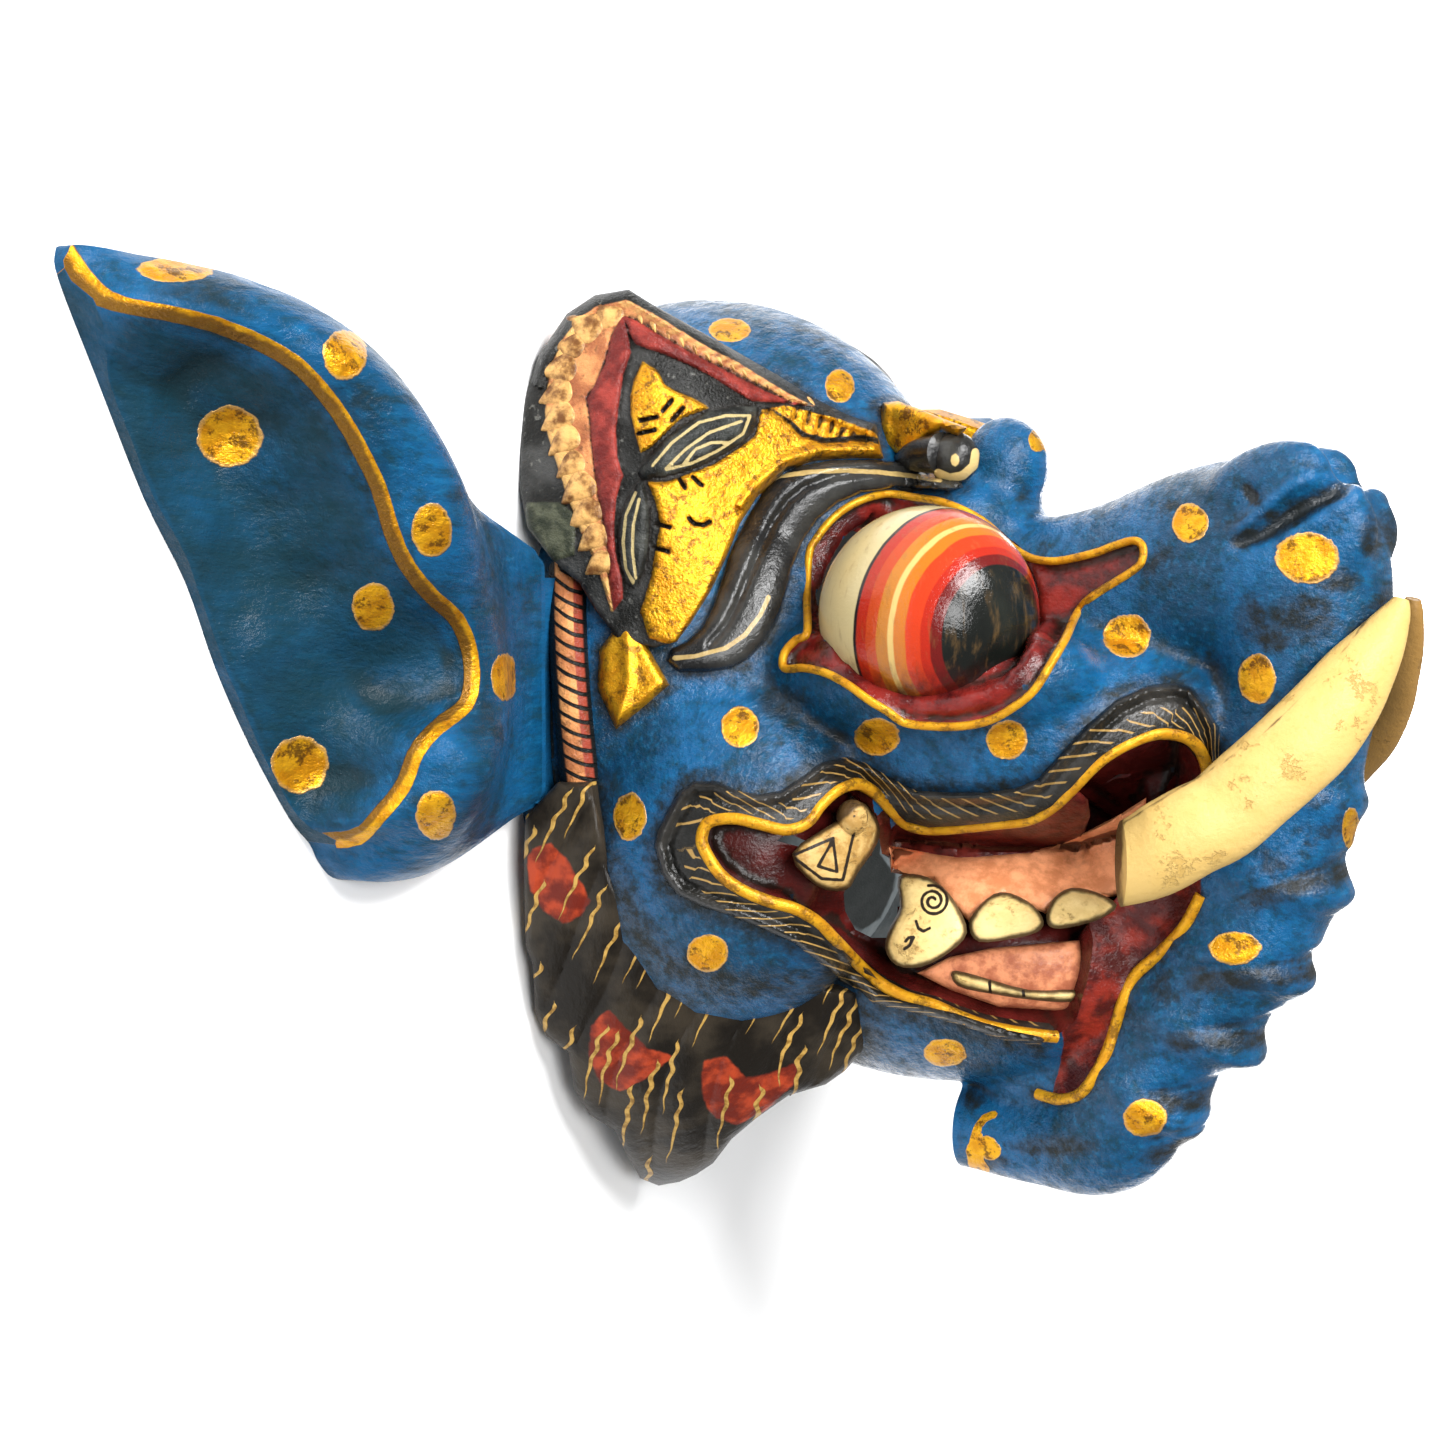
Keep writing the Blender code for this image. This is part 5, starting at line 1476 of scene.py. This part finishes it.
def glaze_and_shade_field(points, drawn):
    """How thick the dark glaze and the painted shade lie beside and under the carved forms, from 0 to 1."""
    glaze_and_shade = np.zeros(len(points))
    # Dark glaze and painted shade beside the raised forms
    for line, reach in (
        (BAND_TOP, 7.0), (BAND_LOW, 8.0), (BROW_LOW, 6.0), (BEARD, 11.0), (TRUNK_LINE, 5.0), (PENDANT, 5.0),
        (ROPE, 9.0), (TUSK_EDGE, 5.0), (PANEL[10:18], 4.0), (HOOK[:6], 5.0),
    ):
        away, _ = to_line(drawn, line)
        glaze_and_shade = np.maximum(glaze_and_shade, 0.85 * (1.0 - ease(away, 0.0, reach)))
    for spot in DARKS:
        glaze_and_shade = np.maximum(glaze_and_shade, 0.85 * (1.0 - ease(off_spot(drawn, spot), 0.35, 1.25)))
    # Painted shade in a band under each ledge of the trunk
    below, strong = ledges(drawn)
    band = ease(below, 0.2, 2.4) * (1.0 - ease(below, 5.0, 10.0)) * strong
    glaze_and_shade = np.maximum(glaze_and_shade, 0.95 * band * (points[:, 2] > 0.06))
    # Painted shade in the grooves of the snout's wrinkles
    for line, change, wide in WRINKLES:
        if change < 0:
            away = to_line(drawn, line)[0]
            glaze_and_shade = np.maximum(glaze_and_shade, 1.0 - ease(away, 0.6 * wide, 2.0 * wide))
    return glaze_and_shade


def head_carving():
    """The head, cut and painted. Gives the uncut skin, on which the other pieces are laid."""
    soft = shaped(fuse(joined("soft", soft_forms()), SKIN_VOXEL, 30))
    skin = on_skin(BVHTree.FromBMesh(soft))
    carve_skin(soft)
    mouth_cut, eye_cut = mouth_and_eye_cuts(skin)
    hollows = hollow_cuts()
    plugs = []
    for hole, depth in ((BACK_HOLE, 46), (SIDE_HOLE, 50), (FRONT_HOLE, 24)):
        plugs += both(plug(skin, hole, 14, depth))
    # Each group of cuts has a paint of its own
    groups = [
        [BVHTree.FromBMesh(shape) for shape in shapes] for shapes in (plugs + [mouth_cut], [eye_cut], hollows)
    ]
    obj = joined("head_carving", [soft])
    shapes = [mouth_cut, eye_cut] + hollows + plugs
    cutters = [cut(obj, f"cut {k}", [shape]) for k, shape in enumerate(shapes)]
    made = shaped(obj)
    for cutter in cutters:
        bpy.data.objects.remove(cutter, do_unlink=True)
    bmesh.ops.triangulate(made, faces=made.faces)
    obj = joined("head_carving", [made])
    numbers = [first_near(face.center, groups) for face in obj.data.polygons]
    obj.data.polygons.foreach_set("material_index", numbers)
    points = points_of(obj.data)
    drawn = drawn_places(points)
    trunk_side = (np.abs(points[:, 0]) < 0.030) & (points[:, 2] > 0.055)
    spot = spots_field(points, HEAD_SPOTS, skin)
    for line, wide in SQUIGGLE:
        away = to_line(drawn, line)[0] / wide
        spot = np.where(trunk_side, np.minimum(spot, away), spot)
    red = np.where(trunk_side, to_edge(drawn, RED_SIDE), FAR)
    fields = {"spot": spot, "shade": glaze_and_shade_field(points, drawn), "red": red}
    paints = [
        blue_paint("blue_paint"),
        plain_paint("mouth_paint", (0.05, 0.006, 0.005), MAROON, coat=0.8, roughness=0.25),
        plain_paint("socket_paint", (0.04, 0.004, 0.004), (0.20, 0.016, 0.012), coat=0.9, roughness=0.2),
        plain_paint("inside_paint", (0.20, 0.23, 0.24), (0.28, 0.31, 0.32), coat=0.1, roughness=0.5),
    ]
    dress(obj, paints, fields, stands_for="head", angle=50.0)
    return skin


def blade(stations, sides=40):
    """A flattened bar along drawn stations, as wide on the drawing as they say."""
    smooth = smooth_path([Vector(s[:3]) for s in stations], 5)
    sizes = smooth_path([Vector((s[3], s[4], 0)) for s in stations], 5)
    made = bmesh.new()
    rings = []
    for i, (station, size) in enumerate(zip(smooth, sizes)):
        before, after = smooth[max(i - 1, 0)], smooth[min(i + 1, len(smooth) - 1)]
        flat = (UPWARD * (after.x - before.x) - ACROSS * (after.y - before.y)).normalized()
        # Its root is cut off upright
        turned = min(max((station.x - stations[0][0]) / 12, 0), 1)
        flat = UPWARD.lerp(flat, turned).normalized()
        centre = seen_at((station.x, station.y), station.z)
        near = (centre - EYE_POINT).length / VIEW_DISTANCE
        ring = []
        for a in (math.tau * k / sides for k in range(sides)):
            step = flat * math.cos(a) * size.x * near + BACK * math.sin(a) * size.y
            ring.append(made.verts.new(centre + step * MM))
        rings.append(ring)
    for low, high in zip(rings, rings[1:]):
        for k in range(sides):
            made.faces.new((low[k], low[(k + 1) % sides], high[(k + 1) % sides], high[k]))
    made.faces.new(rings[0])
    made.faces.new(rings[-1])
    bmesh.ops.recalc_face_normals(made, faces=made.faces)
    return made


def eyes():
    obj = joined("eyes", both(ball(EYE_CENTRE, (EYE_RADIUS, EYE_RADIUS, EYE_RADIUS), detail=5)))
    points = points_of(obj.data) - np.array([0.0, LIFT * MM, 0.0])
    points[:, 0] = -np.abs(points[:, 0])
    away = (points * TO_MM - np.array(EYE_CENTRE)) / EYE_RADIUS
    # The pupil looks a little to the side and down
    side, down = math.radians(25.4), math.radians(8.5)
    axis = np.array([-math.sin(side) * math.cos(down), -math.sin(down), math.cos(side) * math.cos(down)])
    turn = np.degrees(np.arccos(np.clip(away @ axis, -1.0, 1.0)))
    return dress(obj, [eye_paint()], {"turn": turn, "low": -away[:, 1]})


def lips(skin):
    """The dark band round the mouth, and the gold rims of the mouth, the eyes and the trunk's side."""
    loop = BAND_TOP + MOUTH_TOP[::-1] + LOWER_LIP[::-1] + BAND_LOW[::-1]
    outer = BAND_TOP[::-1] + BAND_LOW
    lower_length = sum(math.dist(a, b) for a, b in zip(LOWER_LIP, LOWER_LIP[1:]))

    def height(points):
        out, _ = to_line(points, outer)
        ridges = 1.2 * np.exp(-((out - 1.7) / 1.1) ** 2) - 0.8 * np.exp(-((out - 4.0) / 0.9) ** 2)
        return -0.6 + dome(out, 1.0, 1.9) + ridges

    obj = joined("lip_bands", both(relief(skin, loop, height, 4.0, grid=0.62)))
    drawn = drawn_of(obj)
    away_top, along_top = to_line(drawn, MOUTH_TOP)
    away_low, along_low = to_line(drawn, LOWER_LIP)
    out_top, out_along_top = to_line(drawn, BAND_TOP)
    out_low, out_along_low = to_line(drawn, BAND_LOW)
    # Between the band's two edges the strokes' place goes over from one edge's measure to the other's
    share = away_top / (away_top + out_top + 1e-6)
    along_top = along_top + (out_along_top - along_top) * share
    share = away_low / (away_low + out_low + 1e-6)
    along_low = lower_length - along_low
    along_low = along_low + (out_along_low - along_low) * share
    along = np.where(away_top < away_low, along_top, along_low + 200.0)
    dress(obj, [band_paint()], {"along": along, "inward": np.minimum(away_top, away_low)})
    growth = rim_growth()
    # Each rim: its name, its line, whether it is closed, its lift and its radius in mm
    rims = (
        ("mouth_rims", LOWER_LIP + MOUTH_TOP + [(129.5, -20)], False, 0.4, 1.5),
        ("eye_rims", EYE, True, 0.0, 1.0), ("trunk_lines", TRUNK_LINE, False, 0.0, 1.45),
    )
    for name, line, closed, lift, radius in rims:
        path = [point + normal * lift * MM for point, normal in (skin(spot) for spot in line)]
        path = smooth_path(path, 6, closed=closed)
        paint = gold_paint(name + "_paint", metallic=0.3, dull=0.35)
        values = {"Radius": radius * MM, "Sides": 12.0, "Finish": paint}
        base = wire(name, [(path, closed), (on_left(path), closed)])
        dress(growth.grow(base, values), [], angle=60.0)


def spiral(x, y, radius, turns=2.2):
    """The drawn curl on the canine."""
    count = 40
    places = []
    for k in range(count + 1):
        angle = math.tau * turns * k / count + 0.6
        reach = radius * (0.18 + 0.82 * k / count)
        places.append((x + reach * math.cos(angle), y + reach * math.sin(angle)))
    return places


def teeth(skin):
    knob = ball((0, 0, 0), (4.2, 4.2, 3.4), detail=3)
    point, normal = skin(FANG_KNOB)
    turned = normal.to_track_quat("Z", "Y").to_matrix().to_4x4()
    to_start = Matrix.Translation((0, -LIFT * MM, 0))
    knob.transform(Matrix.Translation(point - normal * 0.0005) @ turned @ to_start)
    # Each tooth: outline, height over the skin, how far it is sunk in, bulge and drawn marks
    plans = [
        ("canines", CANINE, 1.2, 14, 2.8, [spiral(56.1, -47.6, 4.3)] + CANINE_MARKS),
        ("incisors_rear", INCISORS[0], 0.2, 14, 2.4, []),
        ("incisors_front", INCISORS[1], 0.2, 14, 2.4, []),
        ("back_fangs", BACK_FANG, -3.0, 18, 2.6, FANG_MARKS),
        ("lower_teeth", LOWER_TEETH, -5.0, 14, 2.6, [[(80, -69.5), (80.5, -74.5)], [(71, -67), (71.5, -73)]]),
    ]
    for name, loop, base, sunk, bulge, marks in plans:
        smooth = smooth_drawn(loop, 3, closed=True)
        height = cushion(smooth, 4.5, bulge, base)
        shapes = both(relief(skin, smooth, height, sunk, grid=0.55, straight=True))
        if name == "back_fangs":
            shapes += both(knob)
        obj = joined(name, shapes)
        drawn = drawn_of(obj)
        mark = least((to_line(drawn, line)[0] for line in marks), len(drawn))
        if name == "back_fangs":
            knob_dot = np.linalg.norm(drawn - np.array(FANG_KNOB), axis=1)
            mark = np.minimum(mark, np.minimum(knob_dot * 0.7, np.abs(knob_dot - 3.6) + 0.3))
        brown = 0.75 if name == "back_fangs" else 0.25
        dress(obj, [tooth_paint(name + "_paint", brown)], {"edge": -to_edge(drawn, smooth), "mark": mark})


def gums(skin):
    """The gums, and the wall of the mouth above the upper one."""
    for name, loop, base, sunk, colours in (
        ("upper_gums", UPPER_GUM, -3.6, 18, ((0.66, 0.24, 0.10), (0.95, 0.40, 0.19))),
        ("lower_gums", LOWER_GUM, -6.8, 18, ((0.40, 0.12, 0.06), (0.74, 0.29, 0.14))),
        ("mouth_walls", UPPER_WALL, -5.2, 9, ((0.05, 0.006, 0.005), (0.15, 0.020, 0.014))),
    ):
        height = cushion(loop, 2.5, 1.6, base)
        obj = joined(name, both(relief(skin, loop, height, sunk, grid=0.9, straight=True)))
        paint = plain_paint(name + "_paint", *colours, glaze_and_shade=(0.10, 0.03, 0.015), scale=260, coat=0.5)
        dress(obj, [paint])


def tusks():
    """The far tusk is browner."""
    obj = joined("tusks", both(blade(TUSK)))
    drawn = drawn_of(obj)
    edge = np.maximum(drawn[:, 0] - 106.0, 0.0) * 1.2
    edge = np.minimum(edge, 0.8 + 1.6 * to_line(drawn, TUSK_EDGE)[0])
    far = points_of(obj.data)[:, 0] > 0
    fields = {"edge": edge, "mark": np.full(len(drawn), FAR), "far": far.astype(float)}
    dress(obj, [tooth_paint("tusk_paint", 0.2, True)], fields)


def beside_brow(skin):
    """A surface from the crown panel's end to in front of the brow's knob, facing the view."""
    start = skin((45.0, 77.0))[0].x * TO_MM

    def find(drawn):
        share = min(max((drawn[0] - 45.0) / 14.0, 0.0), 1.0)
        return seen_at(drawn, start + (-21.0 - start) * share), -BACK

    return find


def brows(skin):
    """Black brows with a groove and gold lines."""
    loop = BROW_TOP + BROW_LOW[:0:-1]
    pairs = zip(BROW_TOP[2:], BROW_LOW[4:-1])
    groove = [tuple(0.62 * np.array(a) + 0.38 * np.array(b)) for a, b in pairs]

    def height(points):
        edge = -to_edge(points, loop)
        away, _ = to_line(points, groove)
        return -0.5 + dome(edge, 1.4, 1.6) + dome(edge, 6.5, 3.0) - 1.1 * np.exp(-(away / 1.2) ** 2)

    obj = joined("brows", both(relief(skin, loop, height, 5.0, grid=0.65)))
    drawn = drawn_of(obj)
    lines = np.minimum(to_line(drawn, BROW_GOLD)[0], to_line(drawn, BROW_ARC)[0])
    paint = Paint("brow_paint")
    ground = paint.mottled((70, 4.0), (0.4, 0.7), (0.009, 0.009, 0.009), (0.030, 0.030, 0.028))
    line = paint.scaled(paint.noise(400, 3.0), 0.5, paint.field("gold"))
    gold = paint.mix(paint.noise(500, 3.0), (0.48, 0.35, 0.13), (0.20, 0.13, 0.05))
    colour = paint.mix(paint.step(line, 0.95, 0.75), ground, gold)
    paint.finish(colour, 0.26, brushed(paint), 0.0002, coat=1.0, coat_roughness=0.06)
    dress(obj, [paint.made], {"gold": lines})


def brow_knobs(skin):
    """The black knob at the end of each brow, with the root that leads to it."""
    knobs = both(ball((-18, 67.6, 87), (6.4, 6.4, 6.4)))
    root, widths = [(46.5, 70), (50, 70.8), (54, 71.5), (58.5, 71.8)], [1.5, 3.5, 4.6, 5.2]
    knobs += both(bead(beside_brow(skin), root, widths, sides=20))
    obj = joined("brow_knobs", knobs)
    points = points_of(obj.data)
    drawn = drawn_places(points)
    dot = np.linalg.norm((drawn - np.array([62.0, 70.0])) / np.array([1.0, 1.5]), axis=1)
    crescent = to_line(drawn, [(57.5, 66.5), (60.5, 65.2), (64, 65.8), (67, 68.5), (67.5, 72)])[0]
    paint = Paint("knob_paint")
    ground = paint.mottled((120, 3.0), (0.4, 0.7), (0.009, 0.009, 0.009), (0.035, 0.034, 0.030))
    colour = paint.mix(paint.step(paint.field("gold"), 1.3, 1.0), ground, (0.55, 0.40, 0.16))
    paint.finish(colour, 0.26, brushed(paint), 0.00015, coat=0.8, coat_roughness=0.08)
    dress(obj, [paint.made], {"gold": np.minimum(dot, crescent)})


def crown_panels(skin):
    """The carved panel on each side of the crown. Gives the surface that it is laid on."""
    surface = between(on_ellipsoid((0, 30, 0), (82.5, 134, 96)), skin, -20, 30)
    peach_loop = PEACH_LEFT + RED_ARM_LEFT[12::-1] + RED_ARM_RIGHT[1:9] + PEACH_RIGHT[::-1]

    def scallops(points):
        left, left_along = to_line(points, PEACH_LEFT[1:])
        right, right_along = to_line(points, PEACH_RIGHT)
        wave = np.abs(np.sin(math.pi * left_along / 6.1)) ** 0.6
        fine = np.abs(np.sin(math.pi * (right_along + right * 0.9) / 3.6)) ** 0.6
        first = wave * (1.0 - ease(left, 2.6, 6.0)) * ease(left_along, 4.0, 9.0)
        return np.maximum(first, fine * (1.0 - ease(right, 1.5, 3.0)) * 0.7)

    def height(points):
        edge = -to_edge(points, PANEL)
        rim = np.exp(-((edge - 2.2) / 1.5) ** 2) * 1.6 * (points[:, 1] > 60 - 0.6 * points[:, 0])
        tall = 0.2 + dome(edge, 1.4, 1.0) + rim
        tall += dome(-to_edge(points, peach_loop), 0.8, 0.9) * (0.75 + 0.3 * scallops(points))
        for loop, edge_width, top in PANEL_FORMS:
            tall += dome(-to_edge(points, loop), edge_width, top)
        curl_depth = -to_edge(points, CURLS)
        _, along = to_line(points, CURLS[:6])
        tall += dome(curl_depth, 1.0, 1.0) * np.abs(np.sin(math.pi * along / 3.3)) ** 0.5
        for line in GROUND_NICKS:
            tall -= 1.0 * np.exp(-(to_line(points, line)[0] / 0.55) ** 2)
        for line in LEAF_VEINS:
            tall -= 0.35 * np.exp(-(to_line(points, line)[0] / 0.5) ** 2)
        return tall

    obj = joined("crown_panels", both(off_floor(relief(surface, PANEL, height, 13.0, grid=0.62))))
    drawn = drawn_of(obj)
    vein = least((to_line(drawn, line)[0] for line in LEAF_VEINS), len(drawn))
    nick = least((to_line(drawn, line)[0] for line in GROUND_NICKS), len(drawn))
    gold = np.minimum(to_edge(drawn, TRIANGLE), to_edge(drawn, GOLD_GROUND))
    gold = np.minimum(gold, to_edge(drawn, CURLS) + 0.8)
    red = np.minimum(to_edge(drawn, RED_ARM_LEFT), to_edge(drawn, RED_ARM_RIGHT))
    leaf = np.minimum(to_edge(drawn, LEAF_UPPER), to_edge(drawn, LEAF_LOWER))
    fields = {
        "peach": to_edge(drawn, peach_loop), "red": red, "gold": gold, "leaf": leaf,
        "green": to_edge(drawn, GREEN_BLOCK), "vein": vein, "nick": nick, "scallop": scallops(drawn),
    }
    dress(obj, [panel_paint()], fields)
    return surface


def crown_petals(surface):
    """The leaf teeth down the crown panel's edge and the feathers along its top."""
    growth = petal_growth()
    # Pitch, length, width and height in metres, slant in radians, unevenness, and lift in mm
    plans = (
        ("crown_petals", PETAL_LINE, 0.0058, 0.0092, 0.0085, 0.0032, 0.35, 0.18, 1.2),
        ("crown_feathers", FEATHER_LINE, 0.0035, 0.0052, 0.0030, 0.0024, 0.75, 0.12, 1.1),
    )
    for name, line, pitch, long, wide, tall, slant, uneven, lift in plans:
        path, facings = [], []
        for drawn in smooth_drawn(line, 4):
            point, normal = surface(drawn)
            path.append(point + normal * lift * MM)
            facings.append(normal)
        sizes = {
            "Pitch": pitch, "Length": long, "Width": wide, "Height": tall, "Slant": slant, "Uneven": uneven,
        }
        colours = (0.13, 0.05, 0.014), (0.66, 0.37, 0.12)
        paint = plain_paint(name + "_paint", *colours, glaze_and_shade=(0.03, 0.014, 0.006), scale=260)
        base = wire(name, [(path, False), (on_left(path), False)], facings + on_left(facings))
        dress(growth.grow(base, {**sizes, "Finish": paint}), [])


def brow_hooks(skin):
    hook = relief(beside_brow(skin), HOOK, cushion(HOOK, 2.2, 3.6), 7.0, grid=0.7)
    obj = joined("brow_hooks", both(hook))
    dress(obj, [gold_paint("hook_paint")])


def rope_bands(skin):
    line = smooth_drawn(ROPE, 6)
    obj = joined("rope_bands", both(off_floor(bead(skin, ROPE, 4.6, lift=0.5, steps=10, sides=28))))
    drawn = drawn_of(obj)
    _, along = to_line(drawn, line)
    middle = np.interp(-drawn[:, 1], [-y for _, y in line], [x for x, _ in line])
    dress(obj, [rope_paint()], {"along": along, "across": drawn[:, 0] - middle})


def pendants(skin):
    def height(points):
        middle, _ = to_line(points, [(-26, 27), (-25, 12), (-28, 0)])
        return -0.5 + dome(-to_edge(points, PENDANT), 3.0, 3.6) + 0.8 * np.exp(-(middle / 1.6) ** 2)

    obj = joined("pendants", both(relief(skin, PENDANT, height, 4.0, grid=0.75)))
    dress(obj, [gold_paint("pendant_paint", metallic=0.7, dull=0.25)])


def beards():
    """Locks that run down and forward, as a wavy relief on an ellipsoid."""
    surface = on_ellipsoid((0, -10, 0), (89, 115, 90))

    def raised(x, y):
        """Where a low place of the beard's outline goes on the far side, so that it stays hidden."""
        return (x, min(y + 28.0 * min(max((x + 24) / 14, 0), 1), -76)) if y < -80 else (x, y)

    far = [raised(x, y) for x, y in BEARD]

    def flow(points):
        low = np.minimum(points[:, 1] + 88.0, 0.0)
        return points[:, 0] * 0.92 - (points[:, 1] - 0.55 * low) * 0.42

    def height(points):
        lane = flow(points) + 1.2 * np.sin(points[:, 1] * 0.11)
        locks = np.abs(np.sin(math.pi * lane / 12.5)) ** 0.5
        return -0.8 + dome(-to_edge(points, BEARD), 2.6, 1.6) + 1.1 * locks

    near_shape = off_floor(relief(surface, BEARD, height, 9.5, grid=0.8))
    far_shape = mirrored(off_floor(relief(surface, far, height, 9.5, grid=0.8)))
    obj = joined("beards", [near_shape, far_shape])
    drawn = drawn_of(obj)
    red = least((to_edge(drawn, loop) for loop in BEARD_REDS), len(drawn))
    # The paint counts the hairs from a place off the beard, so that no number is below zero
    start = 400.0
    dress(obj, [beard_paint()], {"across": flow(drawn) + start, "down": drawn[:, 1] + start, "red": red})


def thin_plate(known, heights):
    """A smooth field through known (x, y) places, in mm."""
    known = np.asarray(known, dtype=float)
    count = len(known)

    def bend(away):
        return away**2 * np.log(away + 1e-9)

    side = np.column_stack([np.ones(count), known])
    apart = np.linalg.norm(known[:, None] - known[None], axis=2)
    slack = 16.0 * np.eye(count)
    whole = np.block([[bend(apart) + slack, side], [side.T, np.zeros((3, 3))]])
    weights = np.linalg.solve(whole, np.concatenate([heights, np.zeros(3)]))

    def find(points):
        away = np.linalg.norm(points[:, None] - known[None], axis=2)
        tilt = np.column_stack([np.ones(len(points)), points])
        return bend(away) @ weights[:count] + tilt @ weights[count:]

    return find


def ear(node, side):
    """The ear that stands for a node of the part. side is 1 on the mask's right."""
    name = node + "_board"
    outline, ridge, hollow = (
        [seen_at_height(p[:2], p[2]) * TO_MM for p in points]
        for points in (EAR_OUTLINE, EAR_RIDGE, EAR_HOLLOW)
    )
    rim = [(p.x, p.y) for p in smooth_path(outline, 4, closed=True)]
    crest = [(p.x, p.y) for p in smooth_path([outline[12]] + ridge + [outline[20]], 4)]
    corners, faces = filled(rim, [crest[4:-4]], grid=1.15)
    flat = np.array([tuple(p) for p in corners])
    known = outline + ridge + hollow
    heights = thin_plate([tuple(p.xy) for p in known], [p.z for p in known])(flat)
    recess_loop = crest + [(p.x - 12, p.y - 6) for p in outline[19:12:-1]]

    def inward(spots):
        """How far each place is inside the ridge, below zero outside it."""
        return np.where(within(spots, recess_loop), 1.0, -1.0) * to_line(spots, crest)[0]

    into = inward(flat)
    heights = np.maximum(heights, 2.6)
    heights += 0.5 * np.exp(-((into + 1.0) / 1.5) ** 2)
    heights -= np.minimum(2.8 * ease(into, 0.0, 4.0), 0.5 * (heights - 1.8))
    round_off = 1.0 - ease(to_line(flat, rim, closed=True)[0], 0.0, 3.0)
    heights -= np.clip(0.3 * (heights - 3.0), 0.0, 2.0) * round_off
    heights = np.maximum(heights, 1.2)
    fronts = [Vector((*p, h)) * MM for p, h in zip(flat, heights)]
    backs = [Vector((*p, 0.0)) * MM for p in flat]
    board = slab(faces, fronts, backs)
    beside = block((EAR_BOARD_START, 0), (-100, 150), (-50, 90))
    root = block(*EAR_ROOT)
    if side < 0:
        board, beside, root = mirrored(board), mirrored(beside), mirrored(root)
    obj = joined(name, [board])
    cutter = cut(obj, "beside", [beside])
    made = shaped(obj)
    bpy.data.objects.remove(cutter, do_unlink=True)
    bmesh.ops.triangulate(made, faces=made.faces)
    obj = joined(name, [made, root])
    points = points_of(obj.data)
    drawn = drawn_places(points)
    front = points[:, 2] > 0.0006

    def board_surface(spot):
        best = np.argmin(np.linalg.norm(drawn - np.array(spot), axis=1) + 99.0 * ~front)
        return Vector((-abs(points[best][0]), points[best][1], points[best][2])), None

    spots = np.where(front, spots_field(points, EAR_SPOTS, board_surface), 9.0)
    ridge_places = [EAR_OUTLINE[12]] + EAR_RIDGE + [EAR_OUTLINE[20]]
    ridge_line = smooth_drawn([p[:2] for p in ridge_places], 4)
    inner = within(drawn, ridge_line + [(p[0] - 10, p[1] - 5) for p in EAR_OUTLINE[19:12:-1]])
    line = np.where(inner, 1.0, -1.0) * np.where(front, to_line(drawn, ridge_line)[0], 99.0)
    # The line broadens towards the tip
    from_tip = np.linalg.norm(drawn - np.array(EAR_OUTLINE[12][:2]), axis=1)
    line /= 1.0 + 1.6 * (1.0 - ease(from_tip, 3.0, 22.0))
    # Painted shade along the ear's outer edge and in the recess beside the ridge
    low_edge = 0.55 * (1.0 - ease(to_line(drawn, [p[:2] for p in EAR_OUTLINE[11:22]])[0], 0.0, 5.0))
    low_edge = np.maximum(low_edge, np.where(line > 0.0, 0.62 * (1.0 - ease(line, 2.5, 9.0)), 0.0))
    high = ease(drawn[:, 1], -5.0, 45.0)
    fields = {"spot": spots, "shade": np.where(front, low_edge, 0.3), "line": line, "high": high}
    dress(obj, [blue_paint(name + "_paint", gold_line=True)], fields, stands_for=node)


view()
lighting()
floor()
skin = head_carving()
eyes()
lips(skin)
teeth(skin)
gums(skin)
tusks()
brows(skin)
brow_knobs(skin)
crown = crown_panels(skin)
crown_petals(crown)
brow_hooks(skin)
rope_bands(skin)
pendants(skin)
beards()
ear("ear_right", 1)
ear("ear_left", -1)
